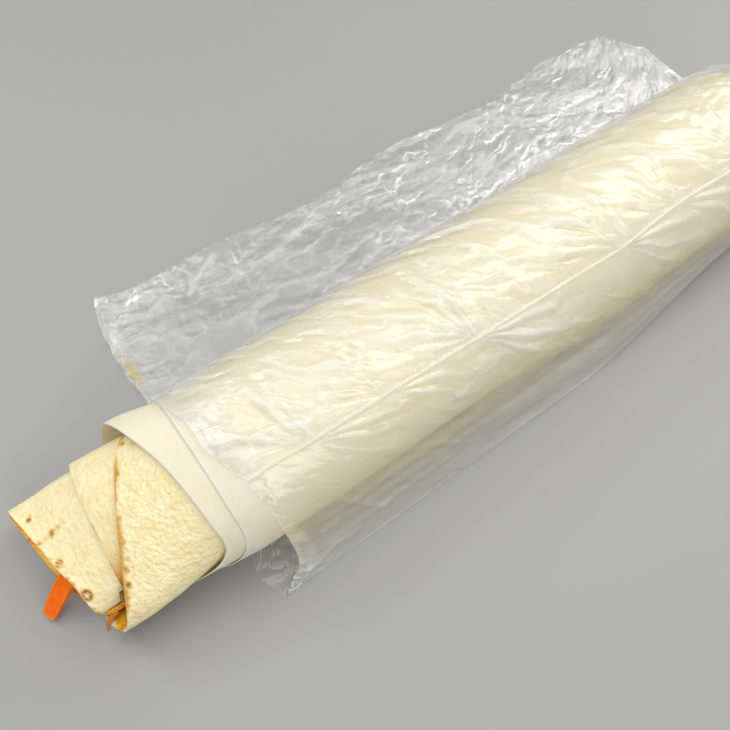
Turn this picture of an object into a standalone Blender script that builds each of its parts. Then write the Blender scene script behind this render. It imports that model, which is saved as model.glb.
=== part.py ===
"""Long rolled flatbread wrap in a greaseproof paper sleeve, inside a thin clear bag.

Units are metres. +X runs along the roll, from its open end to the bag's closed end, +Z is up, and
-Y is the side where the bag's front fold lies close to the roll. The bag lies flat on z = 0.
"""
from math import cos, exp, pi, sin, sqrt

import bmesh
import bpy
from mathutils import Vector

for thing in list(bpy.data.objects):
    bpy.data.objects.remove(thing, do_unlink=True)

# Winding: one turn is split into this many steps, the same for everything wound on the roll
TURN_STEPS = 24

# Bread: one thin round flatbread, wound from the filling outwards
BREAD_THICK = 0.0013
BREAD_PITCH = 0.0017
BREAD_FIRST_STEP = -6
BREAD_LAST_STEP = 65
BREAD_FAR_X = 0.098
# How far the rim reaches at each place along the winding: (turn, x)
BREAD_RIM = [(-0.25, -0.1475), (0.12, -0.1477), (0.25, -0.1509), (0.5, -0.1567), (0.7, -0.1558),
             (0.9, -0.1485), (0.955, -0.1455), (1.0, -0.1385), (1.08, -0.1371), (1.3, -0.1347),
             (1.5, -0.1350), (1.7, -0.1440), (1.86, -0.1478), (1.95, -0.1460), (2.03, -0.1408),
             (2.2, -0.1298), (2.37, -0.1184), (2.47, -0.1120), (2.71, -0.1105)]

# Hollow that the filling lies in: half width, half height and sideways place, at the tip and in the body
HOLLOW_TIP_X = -0.158
HOLLOW_FULL_X = -0.086
HOLLOW_TIP = (0.0195, 0.0060)
HOLLOW_BODY = (0.0184, 0.0158)
AXIS_TIP_Y = 0.0050
AXIS_BODY_Y = -0.0038
AXIS_FULL_X = -0.090
# Height of the hollow's floor above the table, where the tip droops and in the body
FLOOR_TIP = 0.0036
FLOOR_BODY = 0.0087
FLOOR_FULL_X = -0.126

# The outer turn stands away from the roll at its near corner and leaves a pocket there
POCKET_DEPTH = 0.0045
POCKET_TURN = 2.0
POCKET_HALF_TURN = 0.16
POCKET_OPEN_X = -0.138
POCKET_SHUT_X = -0.108

# Filling: a soft core with a lumpy skin, and a smear of it in the pocket
FILLING_NEAR_X = -0.1410
FILLING_FAR_X = 0.0965
FILLING_CLEAR = 0.0016
FILLING_END_IN = 0.0012
LUMP_DEPTH = 0.0009
LUMPS_ROUND = 5
LUMPS_ALONG = 260.0
SIDE_NEAR_X = -0.1400
SIDE_FAR_X = -0.1180
SIDE_FIRST_STEP = 46
SIDE_LAST_STEP = 50
SIDE_ROWS = 6
SIDE_CLEAR = 0.0004
SIDE_THINNEST = 0.0003

# Carrot: a flat strip that hangs out of the mouth, and a thin shred at the pocket
CARROT_PATH = [(-0.1418, -0.0002, 0.0118), (-0.1470, -0.0010, 0.0108), (-0.1515, -0.0014, 0.0086),
               (-0.1565, -0.0030, 0.0052), (-0.1613, -0.0048, 0.0016)]
CARROT_WIDTH = (0.0074, 0.0042)
CARROT_THICK = (0.0026, 0.0018)
SHRED_PATH = [(-0.1428, -0.0172, 0.0096), (-0.1452, -0.0172, 0.0090), (-0.1470, -0.0177, 0.0076),
              (-0.1486, -0.0186, 0.0042)]
SHRED_WIDTH = (0.0012, 0.0008)
SHRED_THICK = (0.0009, 0.0007)

# Paper sleeve: greaseproof sheet of about two turns, gathered shut at the far end
PAPER_THICK = 0.0005
PAPER_PITCH = 0.0008
PAPER_FIRST_STEP = 22
PAPER_LAST_STEP = 70
PAPER_CLEAR = 0.0004
PAPER_RIM = [(0.92, -0.1262), (0.98, -0.1180), (1.05, -0.1100), (1.12, -0.1094), (1.25, -0.1114),
             (1.36, -0.1168), (1.43, -0.1205), (1.5, -0.1222), (1.75, -0.1240), (1.9, -0.1160),
             (2.03, -0.1052), (2.15, -0.1037), (2.34, -0.1040), (2.5, -0.1048), (2.92, -0.1050)]
PAPER_GATHER_X = 0.098
PAPER_FAR_X = 0.1225
PAPER_GATHER_LENGTH = 0.0250
# The sleeve's mouth stands loose on the back side
CURL_DEPTH = 0.0035
CURL_TURN = 0.42
CURL_HALF_TURN = 0.20
CURL_OPEN_X = -0.118
CURL_SHUT_X = -0.099

# Bag: a flat tube of film, shut at its far end, where it drops to the table
FILM_THICK = 0.0006
FILM_CLEAR = 0.0005
BAG_FAR_X = 0.1415
BAG_DROP_X = 0.1000
FRONT_FOLD_Y = -0.0390
FRONT_FOLD_IN = 0.0075
FRONT_FOLD_LIFT = 0.0100
FRONT_IN_FROM_X = 0.010
FRONT_IN_TO_X = 0.095
HEM_WIDTH = 0.0120
BACK_FOLD_Y = 0.0780
# Waves of the fold and of the flap, in metres, at so many radians per metre or across the flap
BACK_FOLD_WAVE = 0.0020
BACK_FOLD_RATE = 75.0
BACK_CORNER_OUT = 0.0085
BACK_CORNER_X = -0.104
BACK_CORNER_FADE = 0.016
END_CORNER_IN = 0.0140
END_CORNER_LENGTH = 0.0120
FLAP_THICK = 0.0012
FLOOR_THICK = 0.0005
FLAP_WAVE = 0.0022
FLAP_RATE_ALONG = 95.0
FLAP_RATE_ACROSS = 9.0
# Where the film leaves the roll, in turns: towards the front fold, and at the back
SKIRT_TURN = 0.04
DRAPE_TURN = 0.49
# Height of the pinched line along the roll's upper front
RIDGE_HEIGHT = 0.0008
# Fall of the film behind the roll: its reach, then how steeply it leaves and how flat it lands
DRAPE_REACH = 0.0110
DRAPE_FALL = 0.60
DRAPE_SWING = 0.35
DRAPE_RUN = 0.70
# Share of the film's width over the roll that is left at the far seam
END_WIDTH = 0.55
# The hollow ends this many film thicknesses behind the front fold
FOLD_INSETS = 2.5
# How far the mouth reaches, from the front fold over the roll to the back corner: (share, x)
MOUTH_RIM = [(0.0, -0.1030), (0.06, -0.1045), (0.155, -0.0968), (0.25, -0.0963), (0.3, -0.0976),
             (0.35, -0.1003), (0.41, -0.1009), (0.48, -0.1040), (0.54, -0.1052), (0.65, -0.1070),
             (0.78, -0.1083), (0.9, -0.1070), (1.0, -0.1040)]

# Steps along the roll: near a rim, then at places that all the windings share
NEAR_STEPS = 5
FILLING_X = (-0.137, -0.131, -0.124, -0.116, -0.108)
SHARED_X = (-0.099, -0.088, -0.075, -0.055, -0.030, 0.0, 0.035, 0.070, 0.090)
GATHER_X = (0.098, 0.106, 0.113, 0.118)
BAG_X = (-0.090, -0.080, -0.065, -0.048, -0.030, -0.010, 0.010, 0.030, 0.050, 0.070, 0.088, 0.100,
         0.110, 0.119, 0.127, 0.133)
SKIRT_STEPS = 4
ARC_STEPS = 12
RIDGE_STEP = 3
DRAPE_STEPS = 4
FLAP_STEPS = 6


def ease(t):
    """Smooth step from 0 to 1."""
    t = min(max(t, 0.0), 1.0)
    return t * t * (3.0 - 2.0 * t)


def between(first, last, t):
    return first + (last - first) * ease(t)


def share(x, first, last):
    return (x - first) / (last - first)


def through(knots, t):
    """Value at t on a smooth curve through a few (place, value) knots."""
    last = len(knots) - 1
    i = 0
    while i < last - 1 and t > knots[i + 1][0]:
        i += 1

    def slope(k):
        low, high = max(k - 1, 0), min(k + 1, last)
        return (knots[high][1] - knots[low][1]) / (knots[high][0] - knots[low][0])

    (t0, v0), (t1, v1) = knots[i], knots[i + 1]
    span = t1 - t0
    s = min(max((t - t0) / span, 0.0), 1.0)
    return ((2 * s**3 - 3 * s**2 + 1) * v0 + (s**3 - 2 * s**2 + s) * span * slope(i)
            + (3 * s**2 - 2 * s**3) * v1 + (s**3 - s**2) * span * slope(i + 1))


def bump(t, centre, half_width):
    """1 at the centre, 0 from half_width away."""
    away = abs(t - centre) / half_width
    return cos(away * pi / 2) ** 2 if away < 1.0 else 0.0


def hollow(x):
    """Half width, half height, and the centre's y and z, of the filling's hollow at x."""
    t = share(x, HOLLOW_TIP_X, HOLLOW_FULL_X)
    half_width = between(HOLLOW_TIP[0], HOLLOW_BODY[0], t)
    half_height = between(HOLLOW_TIP[1], HOLLOW_BODY[1], t)
    centre_y = between(AXIS_TIP_Y, AXIS_BODY_Y, share(x, HOLLOW_TIP_X, AXIS_FULL_X))
    floor = between(FLOOR_TIP, FLOOR_BODY, share(x, HOLLOW_TIP_X, FLOOR_FULL_X))
    return half_width, half_height, centre_y, half_height + floor


def round_roll(x, turn, offset, shrink=1.0):
    """Point at x, that many turns round from the front side over the top, offset from the hollow."""
    half_width, half_height, centre_y, centre_z = hollow(x)
    angle = pi - 2 * pi * turn
    y = centre_y + (half_width * shrink + offset) * cos(angle)
    z = centre_z + (half_height * shrink + offset) * sin(angle)
    return Vector((x, y, z))


def pocket(x, turn):
    """How far the bread's outer turn stands away from the roll."""
    open_share = 1.0 - ease(share(x, POCKET_OPEN_X, POCKET_SHUT_X))
    return POCKET_DEPTH * open_share * bump(turn, POCKET_TURN, POCKET_HALF_TURN)


def mesh_object(name, points, faces, made_of):
    build = bmesh.new()
    corners = [build.verts.new(point) for point in points]
    for face in faces:
        build.faces.new([corners[i] for i in face])
    bmesh.ops.recalc_face_normals(build, faces=build.faces)
    mesh = bpy.data.meshes.new(name)
    build.to_mesh(mesh)
    build.free()
    mesh.shade_smooth()
    mesh.set_sharp_from_angle(angle=pi / 4)
    mesh.materials.append(made_of)
    thing = bpy.data.objects.new(name, mesh)
    bpy.context.collection.objects.link(thing)
    return thing


def material(name, colour, roughness):
    made = bpy.data.materials.new(name)
    made.use_nodes = True
    shader = made.node_tree.nodes["Principled BSDF"]
    shader.inputs["Base Color"].default_value = (*colour, 1.0)
    shader.inputs["Roughness"].default_value = roughness
    shader.inputs["Metallic"].default_value = 0.0
    made.diffuse_color = (*colour, 1.0)
    return made


def numbered(*sheets):
    """All the points of some grids in one list, and each grid again with the points' numbers."""
    points, numbers = [], []
    for sheet in sheets:
        rows = []
        for row in sheet:
            rows.append(list(range(len(points), len(points) + len(row))))
            points += row
        numbers.append(rows)
    return points, numbers


def band(first, second):
    """Faces between two lines of point numbers."""
    return list(zip(first, first[1:], second[1:], second))


def skin(rows):
    return [face for near, far in zip(rows, rows[1:]) for face in band(near, far)]


def side(rows, j):
    return [row[j] for row in rows]


def slab(name, outer, inner, made_of):
    """Closed sheet between two grids of points."""
    points, (top, under) = numbered(outer, inner)
    faces = skin(top) + skin(under)
    for end in (0, -1):
        faces += band(side(top, end), side(under, end)) + band(top[end], under[end])
    return mesh_object(name, points, faces, made_of)


def loft(name, rings, made_of):
    """Closed solid through rings of points, with a point in the middle of each end."""
    points, (rows,) = numbered(rings)
    faces = skin([row + row[:1] for row in rows])
    for ring, row in ((rings[0], rows[0]), (rings[-1], rows[-1])):
        centre = len(points)
        points.append(sum(ring, Vector()) / len(ring))
        faces += [(first, second, centre) for first, second in zip(row, row[1:] + row[:1])]
    return mesh_object(name, points, faces, made_of)


def stations(near_x, far_places):
    """Places along the roll from a rim to the first shared place, then the shared ones."""
    first = far_places[0]
    near = [near_x + (first - near_x) * i / NEAR_STEPS for i in range(NEAR_STEPS)]
    return near + list(far_places)


def make_bread():
    places = SHARED_X + (BREAD_FAR_X,)
    outer, inner = [], []
    for step in range(BREAD_FIRST_STEP, BREAD_LAST_STEP + 1):
        turn = step / TURN_STEPS
        offset = BREAD_PITCH * turn
        rows = ([], [])
        for x in stations(through(BREAD_RIM, turn), places):
            for row, half in zip(rows, (BREAD_THICK / 2, -BREAD_THICK / 2)):
                row.append(round_roll(x, turn, offset + half + pocket(x, turn)))
        outer.append(rows[0])
        inner.append(rows[1])
    slab("lavash", outer, inner, material("flatbread", (0.90, 0.76, 0.49), 0.75))


def make_filling():
    """Soft core with a lumpy skin, the length of the bread."""
    rings = []
    for x in (FILLING_NEAR_X, *FILLING_X, *SHARED_X, FILLING_FAR_X):
        end_in = FILLING_END_IN if x in (FILLING_NEAR_X, FILLING_FAR_X) else 0.0
        ring = []
        for step in range(TURN_STEPS):
            turn = step / TURN_STEPS
            dip = LUMP_DEPTH * (0.5 + 0.5 * sin(2 * pi * LUMPS_ROUND * turn + x * LUMPS_ALONG))
            ring.append(round_roll(x, turn, -FILLING_CLEAR - dip - end_in))
        rings.append(ring)
    loft("filling", rings, material("filling", (0.30, 0.06, 0.02), 0.5))


def make_side_filling():
    """Filling pressed into the pocket between the roll and its outer turn."""
    outer, inner = [], []
    for step in range(SIDE_FIRST_STEP, SIDE_LAST_STEP + 1):
        turn = step / TURN_STEPS
        floor = BREAD_PITCH * (turn - 1.0) + BREAD_THICK / 2 + SIDE_CLEAR
        rows = ([], [])
        for i in range(SIDE_ROWS + 1):
            x = SIDE_NEAR_X + (SIDE_FAR_X - SIDE_NEAR_X) * i / SIDE_ROWS
            roof = BREAD_PITCH * turn - BREAD_THICK / 2 + pocket(x, turn) - SIDE_CLEAR
            rows[0].append(round_roll(x, turn, max(roof, floor + SIDE_THINNEST)))
            rows[1].append(round_roll(x, turn, floor))
        outer.append(rows[0])
        inner.append(rows[1])
    slab("filling_side", outer, inner, bpy.data.materials["filling"])


def make_strip(name, path, width, thick, made_of):
    """Flat strip along a path, narrowing from its root to its tip."""
    points = [Vector(point) for point in path]
    rings = []
    for i, point in enumerate(points):
        t = i / (len(points) - 1)
        ahead = points[min(i + 1, len(points) - 1)] - points[max(i - 1, 0)]
        across = ahead.cross(Vector((0, 0, 1))).normalized()
        up = across.cross(ahead).normalized()
        half_width = (width[0] + (width[1] - width[0]) * t) / 2
        half_thick = (thick[0] + (thick[1] - thick[0]) * t) / 2
        rings.append([point + across * half_width * a + up * half_thick * b
                      for a, b in ((1, 1), (-1, 1), (-1, -1), (1, -1))])
    loft(name, rings, made_of)


def gather(x):
    """Share of the sleeve's width that is left where its far end is gathered."""
    if x <= PAPER_GATHER_X:
        return 1.0
    return sqrt(1.0 - ((x - PAPER_GATHER_X) / PAPER_GATHER_LENGTH) ** 2)


def curl(x, turn):
    """How far the sleeve's mouth stands off on its back side."""
    open_share = 1.0 - ease(share(x, CURL_OPEN_X, CURL_SHUT_X))
    return CURL_DEPTH * open_share * bump(turn % 1.0, CURL_TURN, CURL_HALF_TURN)


BREAD_SKIN = BREAD_PITCH * BREAD_LAST_STEP / TURN_STEPS + BREAD_THICK / 2
PAPER_BASE = BREAD_SKIN + PAPER_CLEAR + PAPER_THICK / 2


def make_paper():
    places = SHARED_X + GATHER_X + (PAPER_FAR_X,)
    outer, inner = [], []
    for step in range(PAPER_FIRST_STEP, PAPER_LAST_STEP + 1):
        turn = step / TURN_STEPS
        layer = PAPER_PITCH * (step - PAPER_FIRST_STEP) / TURN_STEPS
        rows = ([], [])
        for x in stations(through(PAPER_RIM, turn), places):
            left = gather(x)
            for row, half in zip(rows, (PAPER_THICK / 2, -PAPER_THICK / 2)):
                offset = PAPER_BASE * left + layer + half + curl(x, turn)
                row.append(round_roll(x, turn, offset, left))
        outer.append(rows[0])
        inner.append(rows[1])
    slab("paper_sleeve", outer, inner, material("greaseproof", (0.86, 0.82, 0.70), 0.6))


PAPER_SKIN = (PAPER_BASE + PAPER_THICK / 2
              + PAPER_PITCH * (PAPER_LAST_STEP - PAPER_FIRST_STEP) / TURN_STEPS)


def front_fold(x):
    return FRONT_FOLD_Y + FRONT_FOLD_IN * ease(share(x, FRONT_IN_FROM_X, FRONT_IN_TO_X))


def hem_height(x, y):
    """How far the front fold lifts off the table towards the far end."""
    lift = FRONT_FOLD_LIFT * ease(share(x, FRONT_IN_FROM_X, FRONT_IN_TO_X))
    return lift * max(1.0 - (y - front_fold(x)) / HEM_WIDTH, 0.0)


def back_fold(x):
    corner = BACK_CORNER_OUT * exp(-max(x - BACK_CORNER_X, 0.0) / BACK_CORNER_FADE)
    end = END_CORNER_IN * ease(share(x, BAG_FAR_X - END_CORNER_LENGTH, BAG_FAR_X))
    return BACK_FOLD_Y + corner + BACK_FOLD_WAVE * sin(x * BACK_FOLD_RATE) - end


def drop(x):
    """Share of the film's height that is left where it falls to the far seam."""
    if x <= BAG_DROP_X:
        return 1.0
    return sqrt(max(1.0 - share(x, BAG_DROP_X, BAG_FAR_X) ** 2, 0.0))


def over_roll(x, turn, inset, lift=0.0):
    """Point of the film where it lies round the sleeve, inset from its outer face."""
    half_width, half_height, centre_y, centre_z = hollow(x)
    left = drop(x)
    skin_out = PAPER_SKIN + FILM_CLEAR + FILM_THICK - inset
    angle = pi - 2 * pi * turn
    y = centre_y + ((half_width + skin_out) * (END_WIDTH + (1.0 - END_WIDTH) * left) + lift) * cos(angle)
    z = (centre_z + (half_height + skin_out + lift) * sin(angle)) * left
    return Vector((x, y, max(z, FLAP_THICK - inset)))


def film_section(x, inset):
    """Top line of the bag's section at x, from the front fold to where the flap begins."""
    fold_y = front_fold(x) + FOLD_INSETS * inset
    fold = Vector((x, fold_y, hem_height(x, fold_y) + FLAP_THICK - inset))
    leave = over_roll(x, SKIRT_TURN, inset)
    line = [fold.lerp(leave, i / SKIRT_STEPS) for i in range(SKIRT_STEPS)]
    for i in range(ARC_STEPS + 1):
        turn = SKIRT_TURN + (DRAPE_TURN - SKIRT_TURN) * i / ARC_STEPS
        lift = RIDGE_HEIGHT if i == RIDGE_STEP and inset == 0.0 else 0.0
        line.append(over_roll(x, turn, inset, lift))
    start = line[-1]
    back_y = over_roll(x, 0.5, inset).y
    end = Vector((x, back_y + DRAPE_REACH, FLAP_THICK - inset))
    down = start + Vector((0, DRAPE_SWING * DRAPE_REACH, -DRAPE_FALL * start.z))
    flat = end - Vector((0, DRAPE_RUN * DRAPE_REACH, 0))
    for i in range(1, DRAPE_STEPS + 1):
        t = i / DRAPE_STEPS
        high = start * (1 - t) ** 3 + down * 3 * t * (1 - t) ** 2
        line.append(high + flat * 3 * t * t * (1 - t) + end * t ** 3)
    return line


def flap_section(x, start):
    """Top line of the flat double layer behind the roll, from the roll's side to the back fold."""
    fold = back_fold(x)
    line = []
    for i in range(1, FLAP_STEPS + 1):
        t = i / FLAP_STEPS
        swell = 0.5 + 0.5 * sin(x * FLAP_RATE_ALONG + t * FLAP_RATE_ACROSS)
        height = FLAP_THICK + FLAP_WAVE * swell * sin(pi * t) * drop(x)
        line.append(Vector((x, start.y + (fold - start.y) * t, height)))
    return line


def top_and_table(x, j, line, thick):
    """Point j of a top line, and the point under it on a sheet that lies thick above the table."""
    y = line[0].y + (line[-1].y - line[0].y) * j / (len(line) - 1)
    return line[j], Vector((x, y, hem_height(x, y) + thick))


def make_bag():
    """Shell of film round the sleeve, open at the near end, with a flat flap behind the roll."""
    roll_count = SKIRT_STEPS + ARC_STEPS + 1 + DRAPE_STEPS
    count = roll_count + FLAP_STEPS
    rim = [through(MOUTH_RIM, j / (count - 1)) for j in range(count)]
    places = [rim] + [[x] * count for x in (*BAG_X, BAG_FAR_X)]
    top, under, roof, floor = [], [], [], []
    for row in places:
        pairs = []
        for j, x in enumerate(row):
            line = film_section(x, 0.0)
            pairs.append(top_and_table(x, j, line + flap_section(x, line[-1]), 0.0))
        top.append(side(pairs, 0))
        under.append(side(pairs, 1))
    for row in places[:-1]:
        pairs = []
        for j, x in enumerate(row[:roll_count]):
            pairs.append(top_and_table(x, j, film_section(x, FILM_THICK), FLOOR_THICK))
        roof.append(side(pairs, 0))
        floor.append(side(pairs, 1))

    points, (top, under, roof, floor) = numbered(top, under, roof, floor)
    faces = skin(top) + skin(under) + skin(roof) + skin(floor)
    for above, below in ((top, under), (roof, floor)):
        for edge in (0, -1):
            faces += band(side(above, edge), side(below, edge))
        faces += band(above[-1], below[-1])
    faces += band(top[0][:roll_count], roof[0]) + band(floor[0], under[0][:roll_count])
    faces += band(top[0][roll_count - 1:], under[0][roll_count - 1:])
    for edge in (0, roll_count - 1):
        faces.append((top[0][edge], roof[0][edge], floor[0][edge], under[0][edge]))
    mesh_object("bag", points, faces, material("film", (0.80, 0.82, 0.80), 0.2))


def stand_on_origin():
    """Put the middle of the whole object's underside on the origin."""
    corners = [v.co for thing in bpy.data.objects if thing.type == "MESH" for v in thing.data.vertices]
    low = Vector([min(c[k] for c in corners) for k in range(3)])
    high = Vector([max(c[k] for c in corners) for k in range(3)])
    datum = bpy.data.objects.new("datum", None)
    datum.location = (-(low.x + high.x) / 2, -(low.y + high.y) / 2, -low.z)
    for thing in [thing for thing in bpy.data.objects if thing.type == "MESH"]:
        thing.parent = datum
    bpy.context.collection.objects.link(datum)


make_bread()
make_filling()
make_side_filling()
carrot = material("carrot", (0.95, 0.25, 0.02), 0.4)
make_strip("carrot_strip", CARROT_PATH, CARROT_WIDTH, CARROT_THICK, carrot)
make_strip("carrot_shred", SHRED_PATH, SHRED_WIDTH, SHRED_THICK, carrot)
make_paper()
make_bag()
stand_on_origin()
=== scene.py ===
"""Looks of a cig kofte wrap: a rolled flatbread in a greaseproof sleeve, inside a thin clear bag.

Everything is worked out in the roll's own frame, in metres: +X along the roll, from its open end to the
bag's closed end, and turn 0 is the roll's front side, 0.25 its top, 0.5 its back, 0.75 its underside.
"""
from math import cos, pi, radians, sin
from types import SimpleNamespace

import bpy
import numpy as np
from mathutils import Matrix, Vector


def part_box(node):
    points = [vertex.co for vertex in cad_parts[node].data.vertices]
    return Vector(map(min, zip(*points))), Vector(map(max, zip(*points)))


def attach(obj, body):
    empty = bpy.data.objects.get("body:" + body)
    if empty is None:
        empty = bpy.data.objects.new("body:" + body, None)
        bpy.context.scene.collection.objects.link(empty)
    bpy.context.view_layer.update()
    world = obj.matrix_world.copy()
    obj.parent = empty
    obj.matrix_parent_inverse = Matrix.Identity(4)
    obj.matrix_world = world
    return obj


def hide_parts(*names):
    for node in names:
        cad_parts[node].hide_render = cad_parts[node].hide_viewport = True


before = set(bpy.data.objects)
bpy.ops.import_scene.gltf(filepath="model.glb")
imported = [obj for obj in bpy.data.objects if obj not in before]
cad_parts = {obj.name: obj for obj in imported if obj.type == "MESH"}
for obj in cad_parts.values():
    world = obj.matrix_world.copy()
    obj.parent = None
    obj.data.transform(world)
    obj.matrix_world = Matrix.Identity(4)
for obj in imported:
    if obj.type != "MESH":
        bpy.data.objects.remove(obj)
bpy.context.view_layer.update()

# Place of the roll's own frame. The bread's far end and the bag's front fold are true edges of the solids,
# so the frame is read from them.
BREAD_FAR_X = 0.098
FRONT_FOLD_Y = -0.0390
ROLL = Vector((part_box("lavash")[1].x - BREAD_FAR_X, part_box("bag")[0].y - FRONT_FOLD_Y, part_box("bag")[0].z))

# Camera. It stands above the open end and looks down along the roll, so near that the bag's closed end
# leaves the frame on the right.
CAMERA_PLACE = Vector((-0.10185, -0.07597, 0.2160))
CAMERA_TURN = radians(-35.5)
CAMERA_DOWN = radians(64.4)
CAMERA_LENS = 35.31
bpy.ops.object.camera_add(location=ROLL + CAMERA_PLACE, rotation=(pi / 2 - CAMERA_DOWN, 0, CAMERA_TURN))
camera = bpy.context.object
camera.data.sensor_width = 36.0
camera.data.lens = CAMERA_LENS
camera.data.clip_start = 0.01
bpy.context.scene.camera = camera
bpy.context.scene.view_settings.view_transform = "Standard"


# Bread. One thin round lavash, baked with blisters and charred specks, wound three turns round the filling.
# Its rim shows as three slanting edges at the open end, where the outer turn stands off and leaves a pocket.
BREAD_THICK = 0.0013
BREAD_PITCH = 0.0017
BREAD_FIRST_TURN = -0.25
BREAD_LAST_TURN = 65 / 24
BREAD_RIM = [(-0.25, -0.1475), (0.12, -0.1477), (0.25, -0.1509), (0.5, -0.1567), (0.7, -0.1558),
             (0.9, -0.1485), (0.955, -0.1455), (1.0, -0.1385), (1.08, -0.1371), (1.3, -0.1347),
             (1.5, -0.1350), (1.7, -0.1440), (1.86, -0.1478), (1.95, -0.1460), (2.03, -0.1408),
             (2.2, -0.1298), (2.37, -0.1184), (2.47, -0.1120), (2.71, -0.1105)]
# Hollow that the filling lies in: half width, half height and sideways place, at the tip and in the body
HOLLOW_TIP_X = -0.158
HOLLOW_FULL_X = -0.086
HOLLOW_TIP = (0.0195, 0.0060)
HOLLOW_BODY = (0.0184, 0.0158)
AXIS_TIP_Y = 0.0050
AXIS_BODY_Y = -0.0038
AXIS_FULL_X = -0.090
FLOOR_TIP = 0.0036
FLOOR_BODY = 0.0087
FLOOR_FULL_X = -0.126
POCKET_DEPTH = 0.0045
POCKET_TURN = 2.0
POCKET_HALF_TURN = 0.16
POCKET_OPEN_X = -0.138
POCKET_SHUT_X = -0.108
BREAD_COLUMNS = 400
BREAD_ROWS = 108
# The rows lie close together where the bread shows, over this length from the rim
FINE_LENGTH = 0.050
FINE_SHARE = 0.72
BREAD_GIRTH = 0.13
BREAD_RELIEF = 0.00016
SWELL_SIZE = 0.006
PIMPLE_SIZE = 0.0025
BLISTER_RISE = 0.00022
CHAR_RISE = 0.00010
RIM_ROUND = 0.00030
# Where oil has soaked in, on the turns that touch the filling and in the pocket; where painted shade darkens the
# pocket further in; and where painted shade lies on the rolled fold beside the pocket
FILLING_TURNS = 1.02
OILED_HALF_TURN = 0.19
OILED_FROM_X = -0.1455
POCKET_SHADE_X = (-0.1435, -0.1395)
FOLD_SHADE_TURN = 1.02
FOLD_SHADE_HALF_TURN = 0.17
FOLD_SHADE_X = (-0.1500, -0.1400)
# Turns over which the rim gets as brown as it is on the outer turn
OUTER_FROM = (1.85, 2.0)
# Charred places: x in mm, turn, radius in mm, strength, and 1 for a ring left by a burst blister
CHARS = [(-150.7, 0.356, 1.6, 1.0, 0), (-150.0, 0.368, 1.3, 0.7, 0), (-141.8, 0.292, 1.6, 0.5, 0),
         (-144.0, 0.29, 1.8, 0.6, 0), (-146.3, 0.286, 1.9, 0.95, 0), (-148.6, 0.285, 1.4, 0.6, 0),
         (-150.7, 0.284, 1.3, 0.95, 0), (-148.4, 0.219, 1.7, 0.85, 1), (-148.6, 0.179, 1.1, 0.9, 0),
         (-148.1, 0.159, 1.2, 0.9, 0), (-146.3, 0.114, 2.3, 0.85, 1), (-146.8, 0.135, 1.6, 0.5, 0),
         (-147.3, 0.02, 2.0, 0.9, 0), (-147.0, 0.06, 1.2, 0.7, 0), (-149.9, 0.24, 0.9, 0.7, 0),
         (-117.6, 2.359, 1.4, 0.9, 0), (-122.5, 2.297, 1.7, 1.0, 0), (-125.9, 2.254, 1.4, 0.8, 0),
         (-127.6, 2.219, 1.4, 0.9, 0), (-129.8, 2.179, 1.4, 0.7, 0), (-131.0, 2.144, 1.2, 0.7, 0),
         (-133.0, 2.128, 1.4, 1.0, 0), (-134.7, 2.101, 1.6, 1.0, 0), (-115.0, 2.345, 3.0, 0.35, 0),
         (-137.2, 2.04, 3.0, 0.35, 0), (-129.0, 2.6, 1.8, 0.8, 0), (-124.0, 2.69, 2.2, 0.8, 1),
         (-144.0, 1.7, 2.0, 0.9, 0), (-146.0, 1.9, 1.6, 0.9, 0), (-140.0, 1.78, 2.6, 0.8, 1),
         (-153.5, 0.62, 2.2, 0.9, 0), (-150.0, 0.7, 2.8, 0.8, 1), (-148.0, 0.82, 1.8, 0.9, 0)]
CREAM_LIGHT = (0.92, 0.81, 0.50)
CREAM_WARM = (0.89, 0.73, 0.39)
TOAST = (0.64, 0.34, 0.055)
CHARRED = (0.085, 0.035, 0.010)
# Painted shade for the rolled fold beside the pocket
FOLD_SHADE_TAN = (0.60, 0.36, 0.085)
OIL_YELLOW = (0.93, 0.55, 0.025)
OIL_ORANGE = (0.72, 0.27, 0.008)
# Painted shade, deep inside the pocket
POCKET_SHADE_BROWN = (0.34, 0.10, 0.006)
# Mottling: size of its patches and of its grain in metres, and the grain's share
BREAD_CLOUD = (0.0034, 0.0008, 0.40)
BREAD_CRUMB = (0.0014, 0.0006, 0.35)
BUBBLES_PER_METRE = 720.0
BREAD_BUMP = 0.0011
BREAD_DRY = 0.72
BREAD_OILED = 0.35
# Light that sinks in and comes out again: its share, its colour and how deep it goes
BREAD_GLOW = (0.25, (1.0, 0.55, 0.25), 0.0015)


def ease(t):
    """Smooth step from 0 to 1."""
    t = np.clip(t, 0.0, 1.0)
    return t * t * (3.0 - 2.0 * t)


def between(first, last, t):
    """Smooth step from one value to another."""
    return first + (last - first) * ease(t)


def share(x, first, last):
    """How much of the way from first to last x has gone."""
    return (x - first) / (last - first)


def through(knots, t):
    """Smooth curve through a few (place, value) knots, read at t."""
    places, values = np.array(knots).T
    count = np.arange(len(places))
    low, high = np.maximum(count - 1, 0), np.minimum(count + 1, len(places) - 1)
    slopes = (values[high] - values[low]) / (places[high] - places[low])
    i = np.clip(np.searchsorted(places, t, side="right") - 1, 0, len(places) - 2)
    span = places[i + 1] - places[i]
    s = np.clip((t - places[i]) / span, 0.0, 1.0)
    return ((2 * s**3 - 3 * s**2 + 1) * values[i] + (s**3 - 2 * s**2 + s) * span * slopes[i]
            + (3 * s**2 - 2 * s**3) * values[i + 1] + (s**3 - s**2) * span * slopes[i + 1])


def bump(t, centre, half_width):
    """1 at the centre, 0 from half_width away."""
    return np.cos(np.clip(np.abs(t - centre) / half_width, 0.0, 1.0) * pi / 2) ** 2


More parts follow.
